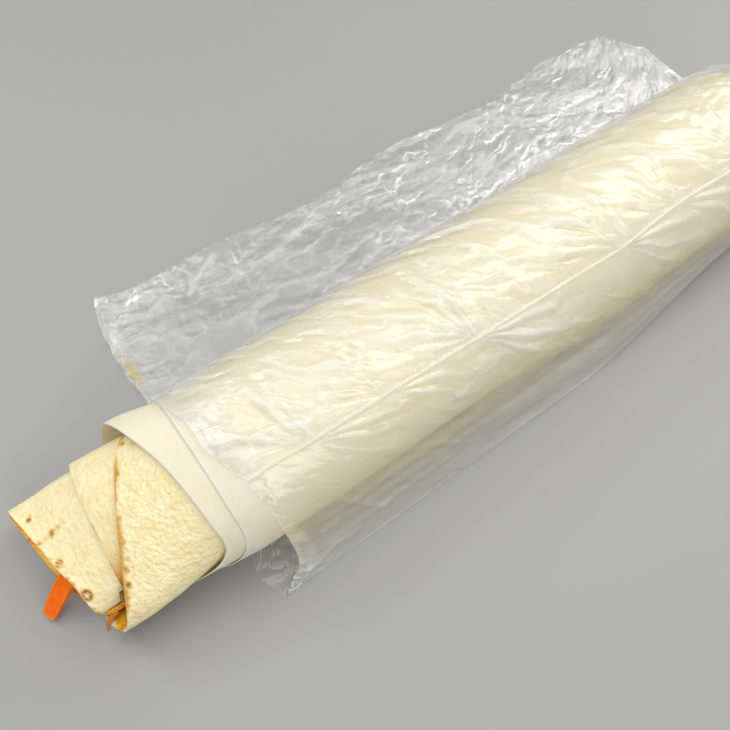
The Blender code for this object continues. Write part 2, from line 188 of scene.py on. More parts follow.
def noise(p, q, seed):
    """Smooth seeded noise from -1 to 1, with one draw at each whole number of p and q."""
    table = np.random.default_rng(seed).uniform(-1.0, 1.0, (128, 128))
    i, j = np.floor(p).astype(int), np.floor(q).astype(int)
    a, b = ease(p - i), ease(q - j)
    i0, i1, j0, j1 = i % 128, (i + 1) % 128, j % 128, (j + 1) % 128
    near = table[i0, j0] * (1 - a) + table[i1, j0] * a
    return near * (1 - b) + (table[i0, j1] * (1 - a) + table[i1, j1] * a) * b


def hollow(x):
    """Half width, half height, and the centre's y and z, of the filling's hollow at x."""
    t = share(x, HOLLOW_TIP_X, HOLLOW_FULL_X)
    half_width = between(HOLLOW_TIP[0], HOLLOW_BODY[0], t)
    half_height = between(HOLLOW_TIP[1], HOLLOW_BODY[1], t)
    centre_y = between(AXIS_TIP_Y, AXIS_BODY_Y, share(x, HOLLOW_TIP_X, AXIS_FULL_X))
    floor_z = between(FLOOR_TIP, FLOOR_BODY, share(x, HOLLOW_TIP_X, FLOOR_FULL_X))
    return half_width, half_height, centre_y, half_height + floor_z


def round_roll(x, turn, offset, shrink=1.0):
    """Points at x, that many turns round from the front side over the top, offset from the hollow."""
    half_width, half_height, centre_y, centre_z = hollow(x)
    angle = pi - 2 * pi * turn
    y = centre_y + (half_width * shrink + offset) * np.cos(angle)
    z = centre_z + (half_height * shrink + offset) * np.sin(angle)
    return np.stack(np.broadcast_arrays(x, y, z), axis=-1)


def pocket(x, turn):
    """How far the bread's outer turn stands away from the roll."""
    open_share = 1.0 - ease(share(x, POCKET_OPEN_X, POCKET_SHUT_X))
    return POCKET_DEPTH * open_share * bump(turn, POCKET_TURN, POCKET_HALF_TURN)


def cut_sheet(name, columns, rows):
    """A flat grid one metre square, and where each corner of it lies across and along, from 0 to 1."""
    bpy.ops.object.select_all(action="DESELECT")
    bpy.ops.mesh.primitive_grid_add(x_subdivisions=columns, y_subdivisions=rows, size=1.0)
    sheet = bpy.context.object
    sheet.name = sheet.data.name = name
    flat = np.empty(len(sheet.data.vertices) * 3, np.float32)
    sheet.data.vertices.foreach_get("co", flat)
    flat = flat.reshape(-1, 3) + 0.5
    return sheet, flat[:, 0].astype(float), flat[:, 1].astype(float)


def lay(piece, points):
    """Move a mesh's points to their places in the roll's frame."""
    piece.data.vertices.foreach_set("co", (points + np.array(ROLL)).astype(np.float32).ravel())
    piece.data.update()


def corners(piece):
    """A mesh's points, in the roll's frame."""
    flat = np.empty(len(piece.data.vertices) * 3, np.float32)
    piece.data.vertices.foreach_get("co", flat)
    return flat.reshape(-1, 3).astype(float) - np.array(ROLL)


def note(piece, name, values):
    """Keep one number for each point, for the material to read."""
    kept = piece.data.attributes.new(name, "FLOAT", "POINT")
    kept.data.foreach_set("value", np.asarray(values, np.float32))


def noted(piece, name):
    """The numbers that note kept, for the points that a modifier has made since."""
    values = np.empty(len(piece.data.vertices), np.float32)
    piece.data.attributes[name].data.foreach_get("value", values)
    return values.astype(float)


def modify(piece, kind, **settings):
    """Add a modifier, set it and apply it."""
    bpy.context.view_layer.objects.active = piece
    made = piece.modifiers.new(kind.title(), kind)
    for name, value in settings.items():
        setattr(made, name, value)
    bpy.ops.object.modifier_apply(modifier=made.name)


def feed(tree, socket, value):
    """Link a socket, or set it to a value or a colour."""
    if isinstance(value, bpy.types.NodeSocket):
        tree.links.new(value, socket)
    elif isinstance(value, tuple) and len(value) == 3 and socket.type == "RGBA":
        socket.default_value = (*value, 1.0)
    else:
        socket.default_value = value


def put(tree, kind, settings=None, **inputs):
    """Add a shader node. Each input is a value or another node's output, with _ for a space in its name."""
    made = tree.nodes.new("ShaderNode" + kind)
    for name, value in (settings or {}).items():
        setattr(made, name, value)
    for name, value in inputs.items():
        feed(tree, made.inputs[name.replace("_", " ")], value)
    return made


def reckon(tree, operation, first, second):
    """Result of a sum on two values or outputs."""
    made = tree.nodes.new("ShaderNodeMath")
    made.operation = operation
    feed(tree, made.inputs[0], first)
    feed(tree, made.inputs[1], second)
    return made.outputs[0]


def times(tree, first, second):
    return reckon(tree, "MULTIPLY", first, second)


def plus(tree, first, second):
    return reckon(tree, "ADD", first, second)


def less(tree, first, second):
    return reckon(tree, "SUBTRACT", first, second)


def total(tree, value, *others):
    """Sum of a value and of others, each with its weight."""
    for other, weight in others:
        value = plus(tree, value, times(tree, other, weight))
    return value


def ramp(tree, value, low, high, start=0.0, end=1.0):
    """Smooth share of the way from low to high, scaled from start to end."""
    made = put(tree, "MapRange", {"interpolation_type": "SMOOTHSTEP"}, Value=value)
    for name, number in (("From Min", low), ("From Max", high), ("To Min", start), ("To Max", end)):
        made.inputs[name].default_value = number
    return made.outputs[0]


def tint(tree, amount, first, second):
    """Colour between two, by a share."""
    made = tree.nodes.new("ShaderNodeMix")
    made.data_type = "RGBA"
    for index, value in ((0, amount), (6, first), (7, second)):
        feed(tree, made.inputs[index], value)
    return made.outputs[2]


def read(tree, name):
    """Value that a piece's mesh keeps under this name."""
    return put(tree, "Attribute", {"attribute_name": name}).outputs["Fac"]


def new_finish(name):
    """A material and its empty node tree."""
    made = bpy.data.materials.new(name)
    made.use_nodes = True
    made.node_tree.nodes.clear()
    return made, made.node_tree


def glow(shader, share_of_light, colour, depth):
    """Let light sink into a surface and come out again."""
    shader.inputs["Subsurface Weight"].default_value = share_of_light
    shader.inputs["Subsurface Radius"].default_value = colour
    shader.inputs["Subsurface Scale"].default_value = depth


def close_finish(tree, shader):
    made = tree.nodes.new("ShaderNodeOutputMaterial")
    tree.links.new(shader, made.inputs["Surface"])


def mottle_group():
    """Cloudy patches and fine grain together, one value from 0 to 1."""
    group = bpy.data.node_groups.new("mottle", "ShaderNodeTree")
    for name, start in (("Patch Scale", 200.0), ("Grain Scale", 1500.0), ("Grain Share", 0.4)):
        socket = group.interface.new_socket(name, in_out="INPUT", socket_type="NodeSocketFloat")
        socket.default_value = start
    group.interface.new_socket("Value", in_out="OUTPUT", socket_type="NodeSocketFloat")
    source = group.nodes.new("NodeGroupInput").outputs
    where = put(group, "TexCoord").outputs["Object"]
    patch = put(group, "TexNoise", Vector=where, Scale=source["Patch Scale"], Detail=3.0, Roughness=0.55)
    grain = put(group, "TexNoise", Vector=where, Scale=source["Grain Scale"], Detail=2.0, Roughness=0.6)
    mix = put(group, "Mix", Factor=source["Grain Share"], A=patch.outputs[0], B=grain.outputs[0])
    group.links.new(mix.outputs[0], group.nodes.new("NodeGroupOutput").inputs["Value"])
    return group


MOTTLE = mottle_group()


def mottle(tree, patch, grain, grain_share):
    """Mottled value, from the size of its patches and of its grain in metres."""
    made = tree.nodes.new("ShaderNodeGroup")
    made.node_tree = MOTTLE
    made.inputs["Patch Scale"].default_value = 1 / patch
    made.inputs["Grain Scale"].default_value = 1 / grain
    made.inputs["Grain Share"].default_value = grain_share
    return made.outputs["Value"]


def bread_finish():
    made, tree = new_finish("baked flatbread")
    cloud, crumb = mottle(tree, *BREAD_CLOUD), mottle(tree, *BREAD_CRUMB)
    char, rim, oil = read(tree, "char"), read(tree, "rim"), read(tree, "oil")
    colour = tint(tree, ramp(tree, cloud, 0.40, 0.62), CREAM_LIGHT, CREAM_WARM)
    ragged = total(tree, char, (less(tree, crumb, 0.5), 0.55))
    toasted = ramp(tree, ragged, 0.10, 0.55)
    colour = tint(tree, times(tree, toasted, 0.75), colour, TOAST)
    burnt = ramp(tree, ragged, 0.48, 0.80)
    colour = tint(tree, times(tree, burnt, 0.9), colour, CHARRED)
    baked_rim = ramp(tree, times(tree, rim, plus(tree, cloud, 0.55)), 0.10, 0.55)
    colour = tint(tree, times(tree, baked_rim, 0.95), colour, TOAST)
    # Painted shade on the rolled fold beside the pocket
    colour = tint(tree, times(tree, read(tree, "fold_shade"), 0.75), colour, FOLD_SHADE_TAN)
    oily = tint(tree, ramp(tree, cloud, 0.38, 0.62), OIL_YELLOW, OIL_ORANGE)
    colour = tint(tree, ramp(tree, oil, 0.05, 0.85), colour, oily)
    # Painted shade: the pocket turns dark brown further in
    colour = tint(tree, times(tree, read(tree, "deep"), 0.85), colour, POCKET_SHADE_BROWN)
    where = put(tree, "TexCoord").outputs["Object"]
    bubbles = put(tree, "TexVoronoi", {"feature": "SMOOTH_F1"}, Vector=where, Scale=BUBBLES_PER_METRE,
                  Smoothness=0.6)
    height = times(tree, plus(tree, cloud, crumb), 0.55)
    height = less(tree, height, times(tree, bubbles.outputs["Distance"], 0.40))
    # The outermost turn blistered most
    blistered = ramp(tree, read(tree, "turn"), 1.6, 2.0, 0.55, 0.85)
    bumped = put(tree, "Bump", Height=height, Strength=blistered, Distance=BREAD_BUMP)
    shader = put(tree, "BsdfPrincipled", Base_Color=colour, Normal=bumped.outputs[0],
                 Roughness=ramp(tree, oil, 0.0, 1.0, BREAD_DRY, BREAD_OILED))
    glow(shader, *BREAD_GLOW)
    close_finish(tree, shader.outputs[0])
    return made


def roll_bread():
    bread, across, along = cut_sheet("lavash_roll", BREAD_COLUMNS, BREAD_ROWS)
    turn = BREAD_LAST_TURN + (BREAD_FIRST_TURN - BREAD_LAST_TURN) * across
    rim_x = through(BREAD_RIM, turn)
    fine = np.minimum(along / FINE_SHARE, 1.0) * np.minimum(FINE_LENGTH, 0.9 * (BREAD_FAR_X - rim_x))
    coarse = np.maximum(along - FINE_SHARE, 0.0) / (1.0 - FINE_SHARE)
    x = rim_x + fine + coarse * (BREAD_FAR_X - rim_x - fine)
    girth = turn * BREAD_GIRTH
    relief = noise(x / SWELL_SIZE, girth / SWELL_SIZE, 1)
    relief += 0.6 * noise(x / PIMPLE_SIZE, girth / PIMPLE_SIZE, 2)
    relief *= BREAD_RELIEF
    middle = BREAD_PITCH * turn + pocket(x, turn)
    char = np.zeros_like(x)
    points = round_roll(x, turn, middle)
    for char_x, char_turn, radius, strength, ring in CHARS:
        char_x /= 1000
        spot = round_roll(char_x, char_turn, BREAD_PITCH * char_turn + pocket(char_x, char_turn))
        reach = np.linalg.norm(points - spot, axis=1) / (radius / 1000)
        reach[np.abs(turn - char_turn) > 0.25] = 9.0
        cone = 1.0 - np.abs(reach - 0.5) * 2.0 if ring else 1.0 - reach
        char = np.maximum(char, strength * np.clip(cone, 0.0, 1.0))
        relief += (BLISTER_RISE if ring else CHAR_RISE) * strength * np.clip(1.0 - reach ** 2, 0.0, 1.0)
    lay(bread, round_roll(x, turn, middle + relief))
    note(bread, "char", char)
    patchy = 0.55 + 0.45 * noise(turn * 26.0, 0.0, 3)
    baked = 0.55 + 0.45 * ease(share(turn, *OUTER_FROM))
    note(bread, "rim", baked * patchy * np.exp(-(x - rim_x) / (0.0001 + 0.0012 * baked)))
    note(bread, "turn", turn)
    note(bread, "middle", middle)
    modify(bread, "SOLIDIFY", thickness=BREAD_THICK, offset=0.0)
    modify(bread, "BEVEL", width=RIM_ROUND, segments=3, limit_method="ANGLE", angle_limit=radians(50))
    # Oil soaks the inner face next to the filling, and both faces of the pocket
    spot, turn = corners(bread), noted(bread, "turn")
    half_width, half_height, centre_y, centre_z = hollow(spot[:, 0])
    angle = pi - 2 * pi * turn
    out = (spot[:, 1] - centre_y) * np.cos(angle) + (spot[:, 2] - centre_z) * np.sin(angle)
    skin = half_width * np.cos(angle) ** 2 + half_height * np.sin(angle) ** 2 + noted(bread, "middle")
    inner = ease((skin - out) / BREAD_THICK * 2.5)
    outer = 1.0 - inner
    near_filling = inner * (turn < FILLING_TURNS)
    floor, roof = bump(turn, POCKET_TURN - 1.0, OILED_HALF_TURN), bump(turn, POCKET_TURN, OILED_HALF_TURN)
    in_pocket = (outer * floor + inner * roof) * (spot[:, 0] > OILED_FROM_X)
    note(bread, "oil", np.clip(near_filling + 1.6 * in_pocket, 0.0, 1.0))
    # Painted shade that darkens the pocket further in
    note(bread, "deep", np.clip(1.6 * in_pocket, 0.0, 1.0) * ease(share(spot[:, 0], *POCKET_SHADE_X)))
    # Painted shade on the outer face of the rolled fold beside the pocket, with a fainter band further round
    # near the open end
    beside_pocket = bump(turn, FOLD_SHADE_TURN, FOLD_SHADE_HALF_TURN) * ease(share(spot[:, 0], *FOLD_SHADE_X))
    further = bump(turn, 1.10, 0.22) * 0.4 * (spot[:, 0] < -0.1180)
    note(bread, "fold_shade", outer * (beside_pocket + further))
    bpy.ops.object.shade_smooth()
    bread.data.materials.append(bread_finish())
    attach(bread, "root")
    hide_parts("lavash")


roll_bread()


# Filling. Fine bulgur kneaded with pepper paste and spices, moist, dark red and grainy. It is pressed into a
# soft core the length of the bread, with a smear of it in the pocket.
FILLING_NEAR_X = -0.1410
FILLING_FAR_X = 0.0965
FILLING_CLEAR = 0.0014
CORE_GIRTH = 0.12
LUMP_DEPTH = 0.0008
END_DOME = 0.0030
END_SHARE = 0.12
SIDE_NEAR_X = -0.1400
SIDE_FAR_X = -0.1180
SIDE_TURNS = (46 / 24, 50 / 24)
SIDE_CLEAR = 0.0003
SMEAR_COLUMNS = 48
SMEAR_ROWS = 70
SMEAR_LEAST = 0.0003
SMEAR_RAGGED = 0.0016
PASTE_DARK = (0.095, 0.028, 0.003)
PASTE_RED = (0.40, 0.145, 0.008)
PASTE_GRAIN = (0.72, 0.36, 0.040)
PASTE_CLOUD = (0.0025, 0.0006, 0.4)
GRAINS_PER_METRE = 900.0
PASTE_BUMP = 0.0005
PASTE_WET = 0.28
PASTE_DULL = 0.55


def paste_finish():
    made, tree = new_finish("spiced bulgur")
    where = put(tree, "TexCoord").outputs["Object"]
    grains = put(tree, "TexVoronoi", Vector=where, Scale=GRAINS_PER_METRE, Randomness=1.0)
    cloud = mottle(tree, *PASTE_CLOUD)
    colour = tint(tree, ramp(tree, cloud, 0.38, 0.62), PASTE_DARK, PASTE_RED)
    colour = tint(tree, ramp(tree, grains.outputs["Distance"], 0.32, 0.05, 0.0, 0.55), colour, PASTE_GRAIN)
    height = less(tree, cloud, grains.outputs["Distance"])
    bumped = put(tree, "Bump", Height=height, Strength=0.8, Distance=PASTE_BUMP)
    moist = ramp(tree, cloud, 0.3, 0.7, PASTE_WET, PASTE_DULL)
    shader = put(tree, "BsdfPrincipled", Base_Color=colour, Roughness=moist, Normal=bumped.outputs[0])
    close_finish(tree, shader.outputs[0])
    return made


PASTE = paste_finish()


def press_core():
    """A ball drawn out along the hollow: its rings become the core's, crowded at the two ends."""
    bpy.ops.object.select_all(action="DESELECT")
    bpy.ops.mesh.primitive_uv_sphere_add(segments=120, ring_count=150, radius=1.0, rotation=(0, pi / 2, 0))
    core = bpy.context.object
    core.name = core.data.name = "filling_core"
    bpy.ops.object.transform_apply(location=False, rotation=True, scale=False)
    ball = corners(core) + np.array(ROLL)
    turn = 0.5 - np.arctan2(ball[:, 2], ball[:, 1]) / (2 * pi)
    level = np.arcsin(np.clip(ball[:, 0], -1.0, 1.0)) / pi + 0.5
    # The first and last rings make the ends, the others lie closest near the open end
    inner = np.clip((level - END_SHARE) / (1.0 - 2 * END_SHARE), 0.0, 1.0)
    to_shoulder = np.clip(np.minimum(level, 1.0 - level) / END_SHARE, 0.0, 1.0) * pi / 2
    width, dome = np.sin(to_shoulder), END_DOME * np.cos(to_shoulder)
    near, far = FILLING_NEAR_X + END_DOME, FILLING_FAR_X - END_DOME
    x = near + (far - near) * inner ** 2.2 + np.where(level < 0.5, -dome, dome)
    lumps = 0.6 * noise(x / 0.004, np.sin(2 * pi * turn) * 6.0, 11)
    lumps += 0.4 * noise(x / 0.0016, turn * CORE_GIRTH / 0.0016, 12)
    inset = FILLING_CLEAR + LUMP_DEPTH * (0.5 - 0.5 * lumps)
    lay(core, round_roll(x, turn, -inset * width, width))
    bpy.ops.object.shade_smooth()
    core.data.materials.append(PASTE)
    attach(core, "root")
    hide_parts("filling")


def smear_pocket():
    """A thick smear between the two outer turns, lumpy above and flat where it lies on the inner turn."""
    smear, across, along = cut_sheet("filling_smear", SMEAR_COLUMNS, SMEAR_ROWS)
    turn = SIDE_TURNS[1] + (SIDE_TURNS[0] - SIDE_TURNS[1]) * across
    ragged = SMEAR_RAGGED * (0.5 + 0.5 * noise(across * 7.0, 0.0, 14)) * (1.0 - along)
    x = SIDE_NEAR_X + (SIDE_FAR_X - SIDE_NEAR_X) * along + ragged
    floor_out = BREAD_PITCH * (turn - 1.0) + BREAD_THICK / 2 + SIDE_CLEAR
    roof_out = BREAD_PITCH * turn - BREAD_THICK / 2 + pocket(x, turn) - SIDE_CLEAR
    deep = np.maximum(roof_out - floor_out, SMEAR_LEAST)
    lumps = 0.75 + 0.25 * noise(x / 0.0012, turn * BREAD_GIRTH / 0.0012, 15)
    edge = np.minimum(np.minimum(across, 1 - across) * 5.0, along * 5.0)
    swell = np.sqrt(np.clip(1.0 - (1.0 - np.clip(edge, 0.0, 1.0)) ** 2, 0.02, 1.0))
    lay(smear, round_roll(x, turn, floor_out + deep * lumps * swell))
    bpy.ops.object.mode_set(mode="EDIT")
    bpy.ops.mesh.select_all(action="SELECT")
    bpy.ops.mesh.extrude_region()
    bpy.ops.object.mode_set(mode="OBJECT")
    spots = corners(smear)
    spots[:len(x)] = round_roll(x, turn, floor_out)
    lay(smear, spots)
    bpy.ops.object.shade_smooth()
    smear.data.materials.append(PASTE)
    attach(smear, "root")
    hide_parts("filling_side")


press_core()
smear_pocket()


# Carrot. A hand-cut strip hangs out of the mouth, wet and bright, with paler cut edges, and a thin shred
# sticks out of the pocket.
CARROT_PATH = [(-0.1418, -0.0002, 0.0118), (-0.1470, -0.0010, 0.0108), (-0.1515, -0.0014, 0.0086),
               (-0.1565, -0.0030, 0.0052), (-0.1613, -0.0048, 0.0016)]
CARROT_WIDTH = (0.0074, 0.0042)
CARROT_THICK = (0.0026, 0.0018)
SHRED_PATH = [(-0.1428, -0.0172, 0.0096), (-0.1452, -0.0172, 0.0090), (-0.1470, -0.0177, 0.0076),
              (-0.1486, -0.0186, 0.0042)]
SHRED_WIDTH = (0.0012, 0.0008)
SHRED_THICK = (0.0009, 0.0007)
CARROT_DEEP = (0.88, 0.115, 0.0)
CARROT_LIGHT = (0.93, 0.175, 0.0)
CARROT_CUT = (0.95, 0.30, 0.006)
CARROT_STAINED = (0.60, 0.22, 0.015)
CARROT_CLOUD = (0.0022, 0.0005, 0.3)
CARROT_FIBRES = (180.0, 1400.0, 900.0)
CARROT_BUMP = 0.0003
CARROT_WET = 0.28
CARROT_DULL = 0.42
CARROT_GLOW = (0.1, (1.0, 0.35, 0.08), 0.0012)


def carrot_finish():
    made, tree = new_finish("cut carrot")
    where = put(tree, "TexCoord").outputs["Object"]
    stretch = put(tree, "Mapping", Vector=where, Scale=CARROT_FIBRES)
    fibres = put(tree, "TexNoise", Vector=stretch.outputs[0], Scale=1.0, Detail=3.0)
    cloud = mottle(tree, *CARROT_CLOUD)
    mixed = plus(tree, times(tree, fibres.outputs[0], 0.5), times(tree, cloud, 0.5))
    colour = tint(tree, ramp(tree, mixed, 0.40, 0.60), CARROT_DEEP, CARROT_LIGHT)
    colour = tint(tree, ramp(tree, read(tree, "cut_edge"), 0.2, 1.0, 0.0, 0.6), colour, CARROT_CUT)
    colour = tint(tree, read(tree, "stained"), colour, CARROT_STAINED)
    bumped = put(tree, "Bump", Height=mixed, Strength=0.35, Distance=CARROT_BUMP)
    wet = ramp(tree, mixed, 0.3, 0.7, CARROT_WET, CARROT_DULL)
    shader = put(tree, "BsdfPrincipled", Base_Color=colour, Roughness=wet, Normal=bumped.outputs[0])
    shader.inputs["Specular IOR Level"].default_value = 0.3
    glow(shader, *CARROT_GLOW)
    close_finish(tree, shader.outputs[0])
    return made


CARROT = carrot_finish()


def along_path(path, place):
    """Points of a smooth curve through a path's points, at places counted in those points."""
    return np.stack([through(list(enumerate(axis)), place) for axis in zip(*path)], axis=1)


def cut_strip(name, node, path, width, thick, cuts, stained):
    """A block with its edges broken and cut across, then bent along a path and narrowed to its tip."""
    bpy.ops.object.select_all(action="DESELECT")
    bpy.ops.mesh.primitive_cube_add(size=1.0)
    strip = bpy.context.object
    strip.name = strip.data.name = name
    bpy.ops.object.mode_set(mode="EDIT")
    bpy.ops.mesh.select_all(action="SELECT")
    bpy.ops.mesh.bevel(offset=0.07, segments=2, affect="EDGES")
    for cut in range(1, cuts):
        bpy.ops.mesh.select_all(action="SELECT")
        bpy.ops.mesh.bisect(plane_co=(cut / cuts - 0.5, 0, 0), plane_no=(1, 0, 0))
    bpy.ops.object.mode_set(mode="OBJECT")
    block = corners(strip) + np.array(ROLL)
    t = block[:, 0] + 0.5
    place = t * (len(path) - 1)
    line = along_path(path, place)
    ahead = along_path(path, np.minimum(place + 0.05, len(path) - 1))
    ahead -= along_path(path, np.maximum(place - 0.05, 0))
    side = np.cross(ahead, (0.0, 0.0, 1.0))
    side /= np.linalg.norm(side, axis=1)[:, None]
    up = np.cross(side, ahead)
    up /= np.linalg.norm(up, axis=1)[:, None]
    wavy = 1.0 + 0.05 * noise(t * 9.0, block[:, 1] * 3.0, 21)
    half_width = (width[0] + (width[1] - width[0]) * t) * block[:, 1] * wavy
    half_thick = (thick[0] + (thick[1] - thick[0]) * t) * block[:, 2]
    lay(strip, line + side * half_width[:, None] + up * half_thick[:, None])
    on_edge = np.sort(np.abs(block), axis=1)[:, 1]
    note(strip, "cut_edge", ease(share(on_edge, 0.40, 0.50)) + (t > 0.985) * 0.6)
    note(strip, "stained", np.full(len(t), stained))
    modify(strip, "SUBSURF", levels=1, render_levels=1)
    bpy.ops.object.mode_set(mode="EDIT")
    bpy.ops.mesh.select_all(action="SELECT")
    bpy.ops.mesh.normals_make_consistent(inside=False)
    bpy.ops.object.mode_set(mode="OBJECT")
    bpy.ops.object.shade_smooth()
    strip.data.materials.append(CARROT)
    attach(strip, "root")
    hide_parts(node)


cut_strip("carrot_cut_strip", "carrot_strip", CARROT_PATH, CARROT_WIDTH, CARROT_THICK, 24, 0.0)
cut_strip("carrot_cut_shred", "carrot_shred", SHRED_PATH, SHRED_WIDTH, SHRED_THICK, 12, 0.85)


# Paper. A sheet of greaseproof paper, thin, warm white and a little translucent. It is wound twice round the
# bread and gathered shut behind its far end, and its mouth stands loose at the back.
PAPER_THICK = 0.0005
PAPER_PITCH = 0.0008
PAPER_FIRST_TURN = 22 / 24
PAPER_LAST_TURN = 70 / 24
PAPER_CLEAR = 0.0004
PAPER_RIM = [(0.92, -0.1262), (0.98, -0.1180), (1.05, -0.1100), (1.12, -0.1094), (1.25, -0.1114),
             (1.36, -0.1165), (1.43, -0.1200), (1.5, -0.1226), (1.54, -0.1240), (1.75, -0.1240),
             (1.9, -0.1160), (2.03, -0.1052), (2.15, -0.1037), (2.34, -0.1040), (2.5, -0.1048),
             (2.92, -0.1050)]
PAPER_GATHER_X = 0.098
PAPER_FAR_X = 0.1225
PAPER_GATHER_LENGTH = 0.0246
CURL_DEPTH = 0.0024
CURL_TURN = 0.42
CURL_HALF_TURN = 0.20
CURL_OPEN_X = -0.118
CURL_SHUT_X = -0.099
PAPER_SHOWN_THICK = 0.00022
PAPER_GIRTH = 0.16
PAPER_CLING = 0.00048
PAPER_CLING_LENGTH = 0.008
PAPER_CLING_TURNS = (1.93, 2.05)
PAPER_GREASY_X = (-0.104, -0.082)
PLEATS = 17
PLEAT_DEPTH = 0.0011
# Slack in the sheet: height, length and width of its soft waves and of its small ones
PAPER_WAVES = (0.00012, 0.014, 0.009)
PAPER_RIPPLES = (0.00006, 0.005, 0.004)
PAPER_COLUMNS = 300
PAPER_ROWS = 150
BREAD_SKIN = BREAD_PITCH * BREAD_LAST_TURN + BREAD_THICK / 2
PAPER_BASE = BREAD_SKIN + PAPER_CLEAR + PAPER_THICK / 2
PAPER_SKIN = PAPER_BASE + PAPER_THICK / 2 + PAPER_PITCH * (PAPER_LAST_TURN - PAPER_FIRST_TURN)
PAPER_WHITE = (0.95, 0.92, 0.79)
PAPER_WARM = (0.92, 0.86, 0.65)
PAPER_GLOW = (0.92, 0.84, 0.62)
PAPER_GREASY = (0.93, 0.855, 0.60)
# Painted highlight along the paper's rim
PAPER_EDGE_HIGHLIGHT = (0.97, 0.95, 0.86)
PAPER_THROUGH = 0.22
PAPER_CLOUD = (0.0045, 0.0009, 0.5)
PAPER_FIBRE = (0.0016, 0.0004, 0.5)
PAPER_BUMP = 0.0003


def layer(tree, amount, first, second):
    """One shader over another, by a share."""
    made = tree.nodes.new("ShaderNodeMixShader")
    for index, value in enumerate((amount, first, second)):
        feed(tree, made.inputs[index], value)
    return made.outputs[0]


def paper_finish():
    made, tree = new_finish("greaseproof paper")
    cloud, fibre = mottle(tree, *PAPER_CLOUD), mottle(tree, *PAPER_FIBRE)
    colour = tint(tree, ramp(tree, cloud, 0.38, 0.64), PAPER_WHITE, PAPER_WARM)
    colour = tint(tree, times(tree, read(tree, "greasy"), 0.85), colour, PAPER_GREASY)
    # Painted highlight along the rim
    colour = tint(tree, times(tree, read(tree, "edge"), 0.8), colour, PAPER_EDGE_HIGHLIGHT)
    bumped = put(tree, "Bump", Height=plus(tree, cloud, fibre), Strength=0.25, Distance=PAPER_BUMP)
    shader = put(tree, "BsdfPrincipled", Base_Color=colour, Normal=bumped.outputs[0],
                 Roughness=ramp(tree, fibre, 0.35, 0.65, 0.42, 0.58))
    glow = put(tree, "BsdfTranslucent", Color=PAPER_GLOW, Normal=bumped.outputs[0])
    close_finish(tree, layer(tree, PAPER_THROUGH, shader.outputs[0], glow.outputs[0]))
    return made


def slack(x, girth, height, length, width, seed):
    return height * noise(x / length, girth / width, seed)


def wind_paper():
    paper, across, along = cut_sheet("greaseproof_sleeve", PAPER_COLUMNS, PAPER_ROWS)
    turn = PAPER_LAST_TURN + (PAPER_FIRST_TURN - PAPER_LAST_TURN) * across
    rim_x = through(PAPER_RIM, turn)
    x = rim_x + (PAPER_FAR_X - rim_x) * (0.35 * along + 0.65 * along ** 2)
    closing = np.clip(share(x, PAPER_GATHER_X, PAPER_GATHER_X + PAPER_GATHER_LENGTH), 0.0, 1.0)
    left = np.sqrt(1.0 - closing ** 2)
    open_share = 1.0 - ease(share(x, CURL_OPEN_X, CURL_SHUT_X))
    curl = CURL_DEPTH * open_share * bump(turn % 1.0, CURL_TURN, CURL_HALF_TURN)
    # The outer turn's rim lies down on the turn below it
    clinging = (1.0 - ease((x - rim_x) / PAPER_CLING_LENGTH)) * ease(share(turn, *PAPER_CLING_TURNS))
    wound = PAPER_PITCH * (turn - PAPER_FIRST_TURN) - PAPER_CLING * clinging
    girth = turn * PAPER_GIRTH
    loose = slack(x, girth, *PAPER_WAVES, 31) + slack(x, girth, *PAPER_RIPPLES, 32)
    pleats = PLEAT_DEPTH * closing * np.sin(turn * 2 * pi * PLEATS + 2.0 * noise(turn * 8.0, x / 0.02, 33))
    lay(paper, round_roll(x, turn, PAPER_BASE * left + wound + curl + loose + pleats, left))
    # Painted highlight: lighter within about half a millimetre of the rim
    note(paper, "edge", np.exp(-(x - rim_x) / 0.0004))
    soaked = ease(share(x + 0.006 * noise(girth / 0.011, x / 0.02, 34), *PAPER_GREASY_X))
    note(paper, "greasy", np.maximum(soaked, 0.35 * (turn < 1.95)))
    modify(paper, "SOLIDIFY", thickness=PAPER_SHOWN_THICK, offset=0.0)
    bpy.ops.object.shade_smooth()
    paper.data.materials.append(paper_finish())
    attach(paper, "root")
    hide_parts("paper_sleeve")


wind_paper()


# Bag. A flat tube of thin clear film, sealed across its far end and torn open at the near one. It clings to
# the roll, where a pinched line runs along its upper front, and the rest lies doubled and crinkled behind.
FILM_THICK = 0.0006
FILM_CLEAR = 0.0005
FILM_OUT = PAPER_SKIN + 0.6 * (FILM_CLEAR + FILM_THICK)
BAG_FAR_X = 0.1415
BAG_DROP_X = 0.1000
FRONT_FOLD_IN = 0.0075
FRONT_FOLD_LIFT = 0.0100
FRONT_IN_FROM_X = 0.010
FRONT_IN_TO_X = 0.095
HEM_WIDTH = 0.0120
BACK_FOLD_Y = 0.0780
BACK_FOLD_WAVE = 0.0020
BACK_FOLD_RATE = 75.0
BACK_CORNER_OUT = 0.0085
BACK_CORNER_X = -0.104
BACK_CORNER_FADE = 0.016
END_CORNER_IN = 0.0140
END_CORNER_LENGTH = 0.0120
FLAP_THICK = 0.0012
FLAP_WAVE = 0.0022
FLAP_RATE_ALONG = 95.0
FLAP_RATE_ACROSS = 9.0
SKIRT_TURN = 0.04
SKIRT_SAG = 0.0035
DRAPE_TURN = 0.49
DRAPE_REACH = 0.0110
DRAPE_FALL = 0.60
DRAPE_SWING = 0.35
DRAPE_RUN = 0.70
END_WIDTH = 0.55
# How far a fold takes to open, at the back and at the front
BACK_FOLD_ROUND = 0.0016
FRONT_FOLD_ROUND = 0.0014
